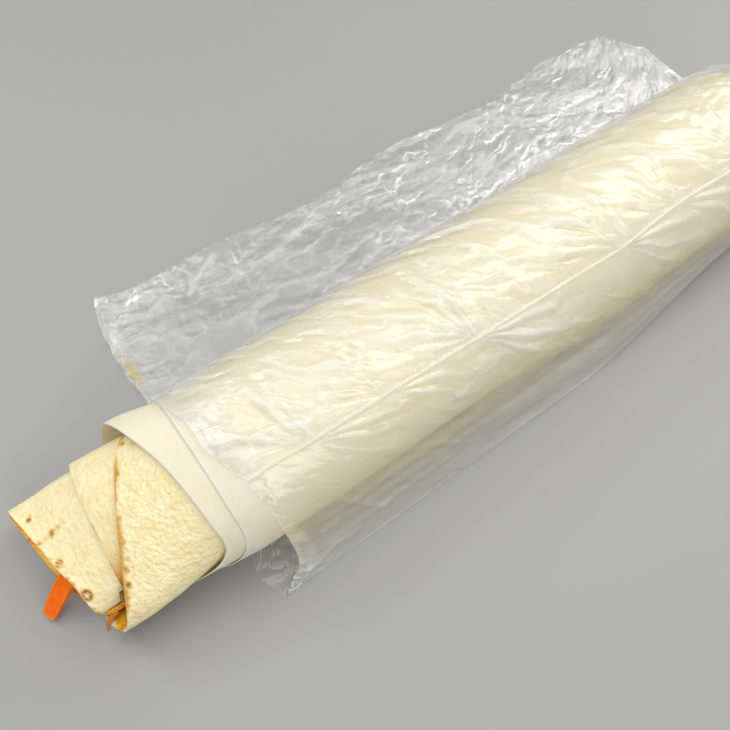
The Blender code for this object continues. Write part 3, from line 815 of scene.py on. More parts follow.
# How far the mouth reaches: its upper layer from the front fold over the roll to the back fold, and its
# lower layer on the table between the same two folds, both as (share of the way, x)
UPPER_MOUTH = [(0.0, -0.1035), (0.035, -0.0985), (0.08, -0.0950), (0.155, -0.0950), (0.25, -0.0958),
               (0.3, -0.0976), (0.35, -0.1003), (0.41, -0.1009), (0.48, -0.1040), (0.54, -0.1052),
               (0.65, -0.1068), (0.78, -0.1078), (0.9, -0.1062), (1.0, -0.1040)]
LOWER_MOUTH = [(0.0, -0.1035), (0.06, -0.1062), (0.14, -0.1060), (0.3, -0.1050), (0.6, -0.1070),
               (0.72, -0.1086), (0.9, -0.1078), (1.0, -0.1040)]
# Shares of the upper layer's way that the skirt, the roll and the drape behind it end at
SKIRT_SHARE = 4 / 26
ROLL_SHARE = 16 / 26
DRAPE_SHARE = 20 / 26
TORN_DEPTH = 0.0007
RIDGE_MOUTH_X = -0.097
# Pinched line along the roll as (x, turn), and the places on it that folds fan out from as (x, strength)
RIDGE = [(-0.105, 0.158), (-0.0917, 0.161), (-0.0795, 0.157), (-0.0538, 0.153), (-0.025, 0.147),
         (0.0139, 0.141), (0.0286, 0.138), (0.0536, 0.149), (0.071, 0.146), (0.1415, 0.14)]
PINCHES = [(-0.0784, 0.8), (-0.0538, 0.9), (-0.0240, 1.4), (0.0300, 1.2), (0.0536, 0.9), (0.0850, 0.9)]
# Long creases over the roll and the skirt: height in mm, width in mm, then points as (x in mm, turn)
CREASES = [(0.55, 1.6, [(-81, 0.265), (-82, 0.23), (-80.4, 0.203), (-76.2, 0.183), (-78.2, 0.160)]),
           (0.40, 1.0, [(-94, 0.272), (-91, 0.241), (-84.6, 0.198), (-79.5, 0.170)]),
           (0.50, 1.1, [(-22, 0.400), (-10, 0.365), (0, 0.330), (9, 0.263), (16.3, 0.213), (28, 0.150)]),
           (0.35, 0.9, [(5, 0.285), (9, 0.244), (17, 0.197), (22.5, 0.150)]),
           (0.40, 1.0, [(-24, 0.385), (-14.7, 0.313), (-6.2, 0.294)]),
           (-0.45, 1.4, [(-7.3, 0.290), (-9.3, 0.265), (-4.9, 0.225), (2.1, 0.193), (9.9, 0.161)]),
           (-0.40, 1.2, [(-25.9, 0.328), (-23.9, 0.284), (-21.5, 0.243), (-12.6, 0.209), (1.1, 0.185)]),
           (0.50, 0.8, [(-24.2, 0.150), (-25.1, 0.194), (-24.8, 0.250)]),
           (0.40, 0.8, [(-24.0, 0.150), (-25.5, 0.198), (-29.0, 0.255)]),
           (0.55, 1.2, [(-24.2, 0.146), (-15.7, 0.097), (-6.5, 0.069), (18.4, 0.015)]),
           (0.40, 0.9, [(-23.4, 0.146), (-7.8, 0.120), (19.0, 0.018)]),
           (0.45, 0.9, [(-22.8, 0.146), (-4.4, 0.086), (19.2, 0.016)]),
           (0.55, 1.1, [(-19.3, 0.094), (-30.7, 0.082), (-41.0, 0.070)]),
           (0.45, 1.2, [(24, 0.290), (32, 0.320), (45, 0.295), (60, 0.225), (76, 0.160)]),
           (-0.40, 1.3, [(30, 0.360), (50, 0.345), (65, 0.335), (82, 0.310)]),
           (0.40, 0.9, [(33, 0.142), (32, 0.219), (30, 0.265)]),
           (0.35, 0.8, [(29, 0.142), (20.9, 0.225), (13.2, 0.259)]),
           (0.35, 0.9, [(-60, 0.400), (-48, 0.350), (-40, 0.290), (-30, 0.240)]),
           (-0.35, 1.2, [(-72, 0.380), (-62, 0.320), (-52, 0.270), (-40, 0.235)]),
           (0.35, 1.0, [(-98, 0.380), (-88, 0.330), (-74, 0.290), (-64, 0.240), (-54, 0.200)]),
           (0.70, 0.9, [(-79, 0.035), (-70, -0.060), (-65, -0.095)]),
           (0.55, 0.9, [(-95, -0.010), (-90, -0.035), (-84, -0.045), (-79, -0.040)]),
           (0.60, 1.2, [(-98, -0.130), (-91, -0.125), (-84, -0.100), (-74, -0.110)]),
           (0.60, 1.0, [(-55, 0.030), (-44, -0.020), (-36, -0.075)]),
           (0.50, 0.9, [(-8, 0.060), (6, 0.010), (14, -0.050), (26, -0.100)]),
           (0.50, 1.0, [(20, 0.070), (34, 0.020), (47, -0.060)])]
# Folds in the loose part on the table: height in mm, width in mm, then points as (x in mm, y in mm)
LOOSE_FOLDS = [(2.3, 1.5, [(-78, 62), (-70, 69), (-60, 75)]), (2.0, 1.3, [(-78, 62), (-72, 71), (-76, 79)]),
               (1.6, 1.4, [(-101, 72), (-92, 66), (-84, 70), (-76, 63)]),
               (1.4, 1.6, [(-74, 45), (-50, 50), (-30, 44), (-5, 50)]),
               (1.5, 1.8, [(-60, 60), (-42, 62), (-20, 70), (5, 66)]),
               (0.8, 1.3, [(-12, 40), (10, 52), (34, 50), (55, 58)]),
               (0.9, 1.6, [(0, 74), (26, 64), (48, 72), (80, 66)]),
               (0.8, 1.3, [(40, 44), (62, 50), (84, 46), (104, 54)])]
FILM_GIRTH = 0.163
FLAP_COLUMNS = 62
DRAPE_COLUMNS = 28
BACK_COLUMNS = 76
FRONT_COLUMNS = 28
SKIRT_COLUMNS = 32
UNDER_COLUMNS = 66
RIDGE_COLUMN = FLAP_COLUMNS + DRAPE_COLUMNS + BACK_COLUMNS
FRONT_COLUMN = RIDGE_COLUMN + FRONT_COLUMNS
FOLD_COLUMN = FRONT_COLUMN + SKIRT_COLUMNS
NEAR_ROWS = 244
FAR_ROWS = 58
CROWD_AT_RIDGE = 1.25
CROWD_AT_FOLD = 1.5
CROWD_UNDER = 0.14
# Where the crushed front corner and the crinkled mouth fade out, where the loose part begins, and how far
# up from the pinched line the film starts to crumple, all as (from, to)
CORNER_X = (-0.1000, -0.0880)
CORNER_Y = (-0.0130, -0.0240)
MOUTH_X = (-0.104, -0.080)
LOOSE_Y = (0.026, 0.036)
ABOVE_LINE = (-0.001, 0.006)
FILM_LOWEST = 0.00012
FILM_ABOVE_TABLE = 0.00006
SEAM_THICK = 0.00025
MERGE_LENGTH = 0.000005


def back_fold(x):
    """y of the fold that the loose part behind the roll ends in."""
    corner = BACK_CORNER_OUT * np.exp(-np.maximum(x - BACK_CORNER_X, 0.0) / BACK_CORNER_FADE)
    end = END_CORNER_IN * ease(share(x, BAG_FAR_X - END_CORNER_LENGTH, BAG_FAR_X))
    return BACK_FOLD_Y + corner + BACK_FOLD_WAVE * np.sin(x * BACK_FOLD_RATE) - end


def front_fold(x):
    """y of the fold that the skirt in front of the roll ends in."""
    return FRONT_FOLD_Y + FRONT_FOLD_IN * ease(share(x, FRONT_IN_FROM_X, FRONT_IN_TO_X))


def hem_height(x, y):
    """How far the front fold lifts off the table towards the far end."""
    lift = FRONT_FOLD_LIFT * ease(share(x, FRONT_IN_FROM_X, FRONT_IN_TO_X))
    return lift * np.maximum(1.0 - (y - front_fold(x)) / HEM_WIDTH, 0.0)


def drop(x):
    """Share of the film's height that is left where it falls to the far seam."""
    return np.sqrt(1.0 - np.clip(share(x, BAG_DROP_X, BAG_FAR_X), 0.0, 1.0) ** 2)


def over_roll(x, turn):
    """Points of the film where it lies on the roll."""
    half_width, half_height, centre_y, centre_z = hollow(x)
    left = drop(x)
    angle = pi - 2 * pi * turn
    y = centre_y + (half_width + FILM_OUT) * (END_WIDTH + (1.0 - END_WIDTH) * left) * np.cos(angle)
    z = (centre_z + (half_height + FILM_OUT) * np.sin(angle)) * left
    return np.stack(np.broadcast_arrays(x, y, np.maximum(z, FLAP_THICK * left)), axis=-1)


def bag_places(mouth_x):
    """x of every row of the film, for columns whose mouth lies at mouth_x."""
    row = np.arange(NEAR_ROWS + FAR_ROWS + 1)[:, None]
    near = np.clip(row / NEAR_ROWS, 0.0, 1.0)
    far = np.sin(np.clip((row - NEAR_ROWS) / FAR_ROWS, 0.0, 1.0) * pi / 2)
    return mouth_x + (BAG_DROP_X - mouth_x) * near + (BAG_FAR_X - BAG_DROP_X) * far


def round_fold(away, reach):
    """Rise of a soft fold, from 0 at the fold to 1 where it has opened."""
    return np.sqrt(1.0 - (1.0 - np.clip(away / reach, 0.0, 1.0)) ** 2)


def drape_points(x, t):
    """Film from where it leaves the roll's back, at t = 0, to where it lies on the table, at t = 1."""
    start = over_roll(x, DRAPE_TURN)
    nothing = np.zeros_like(x)
    foot_y = over_roll(x, 0.5)[..., 1] + DRAPE_REACH
    end = np.stack([x, foot_y, FLAP_THICK * drop(x)], axis=-1)
    swing = np.stack([nothing, nothing + DRAPE_SWING * DRAPE_REACH, -DRAPE_FALL * start[..., 2]], axis=-1)
    down = start + swing
    flat = end - np.stack([nothing, nothing + DRAPE_RUN * DRAPE_REACH, nothing], axis=-1)
    t = t[None, :, None]
    return start * (1 - t) ** 3 + down * 3 * t * (1 - t) ** 2 + flat * 3 * t * t * (1 - t) + end * t ** 3


def lay_flap():
    """Upper layer on the table, from the back fold to the drape's foot."""
    t = 1.0 - np.linspace(0.0, 1.0, FLAP_COLUMNS, endpoint=False) ** CROWD_AT_FOLD
    torn = TORN_DEPTH * noise(t * 17.0, 0.0, 90)
    x = bag_places(through(UPPER_MOUTH, DRAPE_SHARE + (1.0 - DRAPE_SHARE) * t) + torn)
    foot = drape_points(x, np.ones(len(t)))[..., 1]
    y = foot + (back_fold(x) - foot) * t
    swell = 0.5 + 0.5 * np.sin(x * FLAP_RATE_ALONG + t * FLAP_RATE_ACROSS)
    z = (FLAP_THICK + FLAP_WAVE * swell * np.sin(pi * t)) * drop(x)
    z = FILM_LOWEST + (z - FILM_LOWEST) * round_fold(back_fold(x) - y, BACK_FOLD_ROUND)
    return np.stack([x, y, z], axis=-1)


def lay_drape():
    t = np.linspace(1.0, 0.0, DRAPE_COLUMNS, endpoint=False)
    x = bag_places(through(UPPER_MOUTH, ROLL_SHARE + (DRAPE_SHARE - ROLL_SHARE) * t))
    return drape_points(x, t)


def lay_over_roll(columns, first, last):
    """Film on the roll: 1 is where it leaves the roll's back, 0 the pinched line and -1 the skirt."""
    t = np.linspace(first, last, columns, endpoint=False)
    t = np.sign(t) * np.abs(t) ** CROWD_AT_RIDGE
    near = float(through(RIDGE, np.array([RIDGE_MOUTH_X]))[0])
    at_mouth = np.where(t > 0, near + (DRAPE_TURN - near) * t, near + (near - SKIRT_TURN) * t)
    way = SKIRT_SHARE + (ROLL_SHARE - SKIRT_SHARE) * share(at_mouth, SKIRT_TURN, DRAPE_TURN)
    x = bag_places(through(UPPER_MOUTH, way))
    ridge = through(RIDGE, x)
    turn = np.where(t > 0, ridge + (DRAPE_TURN - ridge) * t, ridge + (ridge - SKIRT_TURN) * t)
    return over_roll(x, turn)


def hang_skirt():
    """Film from the roll's front down to the front fold."""
    t = np.linspace(1.0, 0.0, SKIRT_COLUMNS, endpoint=False) ** CROWD_AT_FOLD
    x = bag_places(through(UPPER_MOUTH, SKIRT_SHARE * t))
    leave = over_roll(x, SKIRT_TURN)
    fold_y = front_fold(x)
    y = fold_y + (leave[..., 1] - fold_y) * t
    low = hem_height(x, fold_y) + FLAP_THICK * drop(x)
    z = low + (leave[..., 2] - low) * t - SKIRT_SAG * np.sin(pi * t) * drop(x)
    under = hem_height(x, y) + FILM_LOWEST
    z = under + np.maximum(z - under, 0.0) * round_fold(y - fold_y, FRONT_FOLD_ROUND)
    return np.stack([x, y, z], axis=-1)


def lay_under():
    """Lower layer on the table, from the front fold to the back fold."""
    t = np.linspace(0.0, 1.0, UNDER_COLUMNS + 1)
    t = t - CROWD_UNDER * np.sin(2 * pi * t)
    x = bag_places(through(LOWER_MOUTH, t) + TORN_DEPTH * noise(t * 30.0, 0.0, 91))
    y = front_fold(x) + (back_fold(x) - front_fold(x)) * t
    return np.stack([x, y, hem_height(x, y) + FILM_LOWEST], axis=-1)


def film_grid():
    """Smooth shape of the film: its rows run round the bag, from the back fold over the roll and back."""
    back, front = lay_over_roll(BACK_COLUMNS, 1.0, 0.0), lay_over_roll(FRONT_COLUMNS, -0.0001, -1.0)
    return np.concatenate([lay_flap(), lay_drape(), back, front, hang_skirt(), lay_under()], axis=1)


def film_parts(grid):
    """How much each point belongs to each part of the bag, and where it is on the film: p along the roll,
    and q across the film, from the pinched line towards the back."""
    step = np.linalg.norm(np.diff(grid, axis=1), axis=2)
    run = np.concatenate([np.zeros((len(grid), 1)), np.cumsum(step, axis=1)], axis=1)
    at = SimpleNamespace(p=grid[..., 0], y=grid[..., 1], q=run[:, RIDGE_COLUMN:RIDGE_COLUMN + 1] - run)
    at.column = np.broadcast_to(np.arange(grid.shape[1]), at.p.shape)
    at.flap = 1.0 - ease(share(at.column, FLAP_COLUMNS - 6, FLAP_COLUMNS + DRAPE_COLUMNS - 8))
    at.skirt = ease(share(at.column, FRONT_COLUMN - 10, FRONT_COLUMN + 4)) * (at.column <= FOLD_COLUMN)
    at.under = at.column > FOLD_COLUMN
    at.under_flap = ease(share(at.y, *LOOSE_Y)) * at.under
    at.roll = (1.0 - at.flap) * (1.0 - at.skirt) * (1.0 - at.under)
    at.above = ease(share(at.q, *ABOVE_LINE)) * at.roll
    at.corner = (1.0 - ease(share(at.p, *CORNER_X))) * ease(share(at.y, *CORNER_Y))
    at.mouth = 1.0 - ease(share(at.p, *MOUTH_X))
    at.from_mouth = at.p - at.p[0]
    front, ends = at.q[:, FOLD_COLUMN:FOLD_COLUMN + 1], np.minimum(at.q[:, :1] - at.q, at.q - at.q[:, -1:])
    at.from_fold = np.minimum(np.abs(at.q - front), ends)
    return at


def film_noise(at, along, across, start, seed):
    """Smooth noise over the film, drawn out to this length and width in metres."""
    return noise(at.p / along + start, at.q / across + start, seed)


def zigzag(t):
    """Straight folds up and down, from -1 to 1."""
    return 4.0 * np.abs(t - np.floor(t + 0.5)) - 1.0


def crumple(at, pitch, heading, spread, layers, seed):
    """Film crumpled into facets: straight folds in several headings, each bent and fading."""
    draw = np.random.default_rng(seed)
    relief = np.zeros_like(at.p)
    for k in range(layers):
        angle = heading + spread * draw.uniform(-1.0, 1.0)
        step = pitch * draw.uniform(0.7, 1.5)
        across = (at.q * cos(angle) - at.p * sin(angle)) / step + draw.uniform()
        along = (at.p * cos(angle) + at.q * sin(angle)) / (step * 3.0)
        bend = 0.8 * film_noise(at, step * 2.4, step * 2.4, 40.0, seed + 10 * k + 1)
        fade = ease(0.45 + 0.9 * noise(along + 50.0, across / 2.5 + 50.0, seed + 10 * k + 2))
        relief += fade * zigzag(across + bend)
    return relief / layers ** 0.5


def line_shape(p, q, knots, width):
    """Sharp crest along a line of points, fading towards its two ends."""
    best = np.full(p.shape, 9.0)
    place = np.zeros(p.shape)
    for k in range(len(knots) - 1):
        (p0, q0), (p1, q1) = knots[k], knots[k + 1]
        run = (p1 - p0) ** 2 + (q1 - q0) ** 2
        t = np.clip(((p - p0) * (p1 - p0) + (q - q0) * (q1 - q0)) / run, 0.0, 1.0)
        away = np.hypot(p - p0 - t * (p1 - p0), q - q0 - t * (q1 - q0))
        nearer = away < best
        best = np.where(nearer, away, best)
        place = np.where(nearer, (k + t) / (len(knots) - 1), place)
    fade = np.minimum(np.minimum(place, 1.0 - place) * 6.0 + 0.25, 1.0)
    return np.exp(-best / width) * fade


# Folds that fan out from a pinch. Each fan is the four angles, in radians from the far end, at which its
# folds begin, are full, begin to fade and end
UPPER_FAN = (1.15, 1.7, 2.7, 3.1)
LOWER_FAN = (-1.05, -0.7, -0.18, 0.0)
LOWER_FAN_GAIN = 1.8
FAN_REACH = 0.010
FAN_RATE = 3.4
PINCH_SIZE = 0.0022
GATHER_PITCH = 0.0019
GATHER_PLACE = 0.0022
GATHER_REACH = 0.0030
LINE_WIDTH = 0.00038
CREASE_HEADING = -0.62
# Crumpled relief on each part: height and pitch in metres, heading and its spread, layers, seed
BROAD = (0.00038, 0.0085, CREASE_HEADING, 0.30, 3, 100)
FINE = (0.00022, 0.0036, CREASE_HEADING, 0.45, 4, 200)
FACETS = (0.00045, 0.0062, -0.35, 1.0, 4, 300)
SHARDS = (0.00020, 0.0027, -0.35, 1.5, 4, 400)
SKIRT_FOLDS = (0.00035, 0.016, -0.10, 0.15, 2, 500)
CRUSHED_CORNER = (0.00110, 0.0050, 0.4, 1.5, 3, 600)
CORNER_GRIT = (0.00045, 0.0024, 0.4, 1.5, 3, 650)
FLAP_MOUTH = (0.00035, 0.0030, 0.1, 0.6, 3, 700)
ROLL_MOUTH = (0.00034, 0.0034, 1.1, 0.9, 3, 750)
ROLL_END = (0.00040, 0.0060, -0.2, 1.2, 4, 800)
ROLL_END_X = (0.060, 0.095)
LINE_HEIGHT = 0.00060
FAN_HEIGHT = 0.00045
CREASE_GAIN = 1.4
GATHER_HEIGHT = 0.00014
SHARP_FOLD_HEIGHT = 0.0007
# Furthest that relief goes in and out on the roll, and elsewhere
ROLL_LIMITS = (-0.00055, 0.00120)
LOOSE_LIMITS = (-0.0010, 0.0032)
PLAIN_BESIDE_FOLD = 0.0013


def crumpled(at, height, *how):
    return height * crumple(at, *how)


def window(t, begin, full, fade, end):
    """0 up to begin, 1 from full to fade, and 0 again from end."""
    return ease(share(t, begin, full)) * (1.0 - ease(share(t, fade, end)))


def add_fans(at):
    """Folds that fan out from the pinches, and how white the film is there."""
    at.fans, at.pinched = np.zeros_like(at.p), np.zeros_like(at.p)
    for k, (pinch_x, strength) in enumerate(PINCHES):
        away = np.hypot(at.p - pinch_x, at.q) + 1e-6
        angle = np.arctan2(at.q, at.p - pinch_x)
        spread = window(angle, *UPPER_FAN) + LOWER_FAN_GAIN * window(angle, *LOWER_FAN)
        rise = away / FAN_REACH * np.exp(1.0 - away / FAN_REACH)
        wavy = 0.35 * noise(away / 0.008 + 9 * k, angle * 2.0, 60 + k)
        folds = zigzag(angle * FAN_RATE + wavy + 0.37 * k)
        at.fans += strength * spread * rise * folds
        at.pinched += strength * np.exp(-away / PINCH_SIZE)


def add_gathers(at):
    """Short gathers in a row along the back of the pinched line."""
    bend = 1.4 * film_noise(at, 0.006, 0.003, 30.0, 71) + 0.9 * film_noise(at, 0.02, 0.02, 70.0, 70)
    fade = np.exp(-np.abs(at.q - GATHER_PLACE) / GATHER_REACH)
    fade *= ease(0.5 + 0.9 * noise(at.p / 0.007 + 20.0, 0.0, 72))
    at.gathers = zigzag(at.p / GATHER_PITCH + bend) * fade


def add_creases(at):
    """Long creases on the roll and the skirt, with the white along each crest, partly the film's own whitening
    at the crease and partly painted highlight.
    """
    at.lines, at.line_milk = np.zeros_like(at.p), np.zeros_like(at.p)
    for height, width, knots in CREASES:
        path = []
        for x, turn in knots:
            ridge = float(through(RIDGE, np.array([x / 1000]))[0])
            path.append((x / 1000, FILM_GIRTH * (turn - ridge)))
        crest = line_shape(at.p, at.q, path, width / 1000)
        at.lines += height / 1000 * crest
        at.line_milk += 0.9 * np.abs(height) * crest ** 3


def add_loose_folds(at):
    """Folds of the loose part on the table."""
    at.loose_folds = np.zeros_like(at.p)
    for height, width, knots in LOOSE_FOLDS:
        path = [(x / 1000, y / 1000) for x, y in knots]
        crest = line_shape(at.p, at.y, path, width / 1000) * at.flap
        at.loose_folds += height / 1000 * crest
        # The loose folds' crests add to the same white, partly painted highlight
        at.line_milk += 0.5 * height * crest ** 2


def wrinkle(at):
    """Stand the film's wrinkles off its smooth shape."""
    add_fans(at)
    add_gathers(at)
    add_creases(at)
    add_loose_folds(at)
    at.line = np.exp(-np.abs(at.q) / LINE_WIDTH) * at.roll
    fine, facets, shards = crumpled(at, *FINE), crumpled(at, *FACETS), crumpled(at, *SHARDS)
    patch = ease(0.5 + 0.8 * film_noise(at, 0.013, 0.010, 11.0, 73))
    far = ease(share(at.p, *ROLL_END_X))
    height = LINE_HEIGHT * at.line + FAN_HEIGHT * at.fans * (1.0 - at.flap) + CREASE_GAIN * at.lines
    height += at.above * (GATHER_HEIGHT * at.gathers + crumpled(at, *BROAD) + fine * patch)
    height += at.roll * at.mouth * crumpled(at, *ROLL_MOUTH) + at.above * far * crumpled(at, *ROLL_END)
    height += at.skirt * (crumpled(at, *SKIRT_FOLDS) + fine / 2.2 * at.mouth)
    height += at.flap * (facets + shards * (0.35 + 0.65 * patch) + at.mouth * crumpled(at, *FLAP_MOUTH))
    height += at.under_flap * (facets[:, ::-1] * 2 / 3 + shards * 4 / 5) + at.loose_folds
    height = np.where(at.roll > 0.5, np.clip(height, *ROLL_LIMITS), np.clip(height, *LOOSE_LIMITS))
    height += at.corner * (crumpled(at, *CRUSHED_CORNER) + crumpled(at, *CORNER_GRIT))
    # The folded edges stay plain, and the wrinkles die out at the far seam
    return height * ease(at.from_fold / PLAIN_BESIDE_FOLD) * drop(at.p)


# How milky the film is, from 0 for clear to 1, for each cause
ROLL_MILK = 0.03
ABOVE_MILK = 0.07
LOOSE_MILK = 0.11
LIFTED_MILK = 0.24
FAR_FRONT_MILK = 0.17
FAR_FRONT_BANDS = 0.12
FAR_FRONT_X = (-0.028, 0.008)
SKIRT_MILK = 0.44
SKIRT_FAR_MILK = 0.10
SKIRT_FAR_X = (-0.040, 0.0)
SKIRT_BANDS = 0.22
SHARP_FOLD_MILK = 0.25
FLAP_MILK = 0.06
FLAP_LIFTED_MILK = 0.10
FLAP_MOUTH_MILK = 0.06
LINE_MILK = 0.18
PINCH_MILK = 0.12
FAN_MILK = 0.10
# White along the crease crests: partly the film's own whitening, partly painted highlight
CREASE_WHITE_AND_HIGHLIGHT = 0.50
EDGE_MILK = 0.25
SKIRT_EDGE_MILK = 0.30
FOLD_MILK = 0.55
CORNER_MILK = 0.05
STRIP_MILK = 0.26
# Painted shade: milk on the skirt next to the roll, standing in for the roll's shaded underside seen through the
# film
UNDER_ROLL_SHADE_MILK = 0.20
STAIN_MILK = 0.40
MOST_MILK = 0.8
# Strip of film turned over at the skirt's mouth: its width at the roll, how much wider it gets, and between
# which depths below the pinched line it widens and begins
STRIP_WIDTH = 0.0014
STRIP_FLARE = 0.0036
STRIP_WIDENS = (0.008, 0.044)
STRIP_BEGINS = (0.007, 0.013)
# Sharp fold of the skirt: its share of the way down, and where it fades out
SHARP_FOLD_SHARE = 0.42
SHARP_FOLD_X = (-0.045, -0.030)
# Oily mark inside the mouth of the loose part: its place from the mouth and across, and its reach
STAIN_PLACE = (0.001, 0.050)
STAIN_REACH = (0.0022, 0.007)
# Where the roll's crinkles get calmer on the way to its far end, and how much
CALMER_X = (-0.010, 0.050)
CALMER = 0.45


def sharp_fold(at):
    """One sharp lengthwise fold of the skirt, under the roll near the mouth."""
    across = np.exp(-np.abs(at.column - FRONT_COLUMN - SKIRT_COLUMNS * SHARP_FOLD_SHARE) / 1.2)
    return across * (1.0 - ease(share(at.p, *SHARP_FOLD_X)))


def turned_strip(at):
    """Film doubled over at the skirt's mouth, brightest along its inner edge."""
    width = STRIP_WIDTH + STRIP_FLARE * ease(share(-at.q, *STRIP_WIDENS))
    filled = 0.7 * ease((width - at.from_mouth) / 0.0010)
    edge = 1.3 * np.exp(-np.abs(at.from_mouth - width) / 0.0007)
    return (filled + edge) * np.maximum(at.skirt, at.roll * ease(share(-at.q, *STRIP_BEGINS)))


def milkiness(at, height):
    """How milky each point is: most where the film is folded, doubled, creased or lifted off the roll. The white
    on the creases is partly painted highlight, and the tinted band on the skirt next to the roll is painted
    shade.
    """
    lifted = np.clip((height + 0.0001) / 0.0006, 0.0, 1.0) ** 2
    pressed = 1.0 - 0.8 * ease(-height / 0.0003)
    loose = ease(0.5 + 0.8 * film_noise(at, 0.012, 0.008, 15.0, 76))
    bands = film_noise(at, 0.050, 0.0030, 25.0, 77) + 0.25 * film_noise(at, 0.015, 0.0020, 25.0, 78)
    on_roll = (ROLL_MILK + (ABOVE_MILK + LOOSE_MILK * loose) * at.above) * pressed + LIFTED_MILK * lifted
    far_front = (1.0 - at.above) * ease(share(at.p, *FAR_FRONT_X))
    on_roll += far_front * (FAR_FRONT_MILK + FAR_FRONT_BANDS * bands)
    on_skirt = SKIRT_MILK + SKIRT_FAR_MILK * ease(share(at.p, *SKIRT_FAR_X))
    on_skirt = on_skirt + SKIRT_BANDS * bands + SHARP_FOLD_MILK * sharp_fold(at)
    on_skirt *= 1.0 - 0.75 * at.corner
    on_flap = FLAP_MILK + (FLAP_LIFTED_MILK * lifted + FLAP_MOUTH_MILK * at.mouth) * at.flap
    milk = on_roll * at.roll + on_skirt * at.skirt + on_flap * np.maximum(at.flap, at.under)
    milk += LINE_MILK * at.line * (0.5 + 0.5 * noise(at.p / 0.004 + 5.0, 0.0, 74))
    milk += PINCH_MILK * at.pinched + FAN_MILK * np.clip(at.fans, 0.0, 1.5) * (1.0 - at.flap)
    mouth_rows = np.exp(-np.arange(len(at.p))[:, None] / 0.9) * (1 - at.under)
    # Crease crests: partly the film's own white, partly painted highlight
    milk += CREASE_WHITE_AND_HIGHLIGHT * at.line_milk + (EDGE_MILK + SKIRT_EDGE_MILK * at.skirt) * mouth_rows
    from_back_fold = np.minimum(at.column, at.column.max() - at.column)
    milk += FOLD_MILK * (np.exp(-np.abs(at.column - FOLD_COLUMN) / 1.2) + np.exp(-from_back_fold / 1.0))
    milk += CORNER_MILK * at.corner + STRIP_MILK * turned_strip(at)
    # Painted shade: tinted milk on the skirt next to the roll
    return np.clip(milk + UNDER_ROLL_SHADE_MILK * at.warm + STAIN_MILK * at.stained, 0.0, MOST_MILK)


FILM_WHITE = (0.93, 0.94, 0.93)
# Tint of the painted shade on the skirt next to the roll
FILM_UNDER_ROLL_SHADE = (0.94, 0.89, 0.66)
FILM_OILY = (0.90, 0.72, 0.20)
GLOSS_WHITE = (0.97, 0.97, 0.97)
GLOSS_MOST = 0.38
FILM_IOR = 1.55
HAZE_ROUGH = 0.45
CORNER_POLISH = 0.15
FILM_GRAIN_PER_METRE = 1400.0
FILM_BUMP = 0.0005
# Height of each kind of relief, against that of the facets
SOFT_RISE = 1.1
CREST_RISE = 0.35
CRUSHED_RISE = 1.2
GRAIN_RISE = 0.06
# Pairs are for film that clings to the roll, then for film that lies loose
FACET_RISE = (0.10, 0.28)
CREST_MILK = (0.22, 0.26)
SOFT_MILK = (0.24, 0.03)
GATHER_MILK = 0.22
# Painted glints: white on the crushed corner's crests
CRUSHED_GLINT_MILK = 0.60
GLOSS_ROUGH = (0.26, 0.33)
GLOSS_GAIN = (1.9, 1.3)
# Ridges of crumpled film: length and width in metres, and detail
ROLL_RIDGES = (0.0300, 0.0068, 2.0)
LOOSE_RIDGES = (0.0440, 0.0078, 2.0)
SLANTED_RIDGES = (0.0270, 0.0105, 2.0)
CORNER_RIDGES = (0.0075, 0.0034, 1.0)
RIDGE_SLANT = 0.9
# Facets and gathers: length and width in metres
ROLL_FACETS = (0.0046, 0.0019)
LOOSE_FACETS = (0.0080, 0.0024)
GATHERS = (0.0013, 0.0140)


def blend(tree, amount, first, second):
    """Number between two, by a share."""
    return put(tree, "Mix", Factor=amount, A=first, B=second).outputs[0]


def turned(tree, place, angle):
    return put(tree, "Mapping", Vector=place, Rotation=(0.0, 0.0, angle)).outputs[0]


def flat_noise(tree, place, scale, detail):
    return put(tree, "TexNoise", {"noise_dimensions": "2D"}, Vector=place, Scale=scale, Detail=detail)


def cells(tree, place, along, across, feature="F1"):
    """Flat cells of a crumpled sheet, drawn out to this length and width in metres."""
    sized = put(tree, "Mapping", Vector=place, Scale=(1 / along, 1 / across, 1.0)).outputs[0]
    made = put(tree, "TexVoronoi", {"voronoi_dimensions": "2D", "feature": feature}, Vector=sized, Scale=1.0)
    return made.outputs["Distance"]


def ridges(tree, place, along, across, detail):
    """Branching ridges of a crumpled sheet, drawn out to this length and width in metres."""
    sized = put(tree, "Mapping", Vector=place, Scale=(1 / along, 1 / across, 1.0)).outputs[0]
    kind = {"noise_dimensions": "2D", "noise_type": "RIDGED_MULTIFRACTAL"}
    made = put(tree, "TexNoise", kind, Vector=sized, Scale=1.0, Detail=detail, Roughness=0.5, Lacunarity=2.1,
               Offset=0.95, Gain=1.6)
    return made.outputs["Fac"]


def by_part(tree, clinging, loose):
    """One value where the film clings to the roll, another where it lies loose."""
    return ramp(tree, read(tree, "loose"), 0.0, 1.0, clinging, loose)


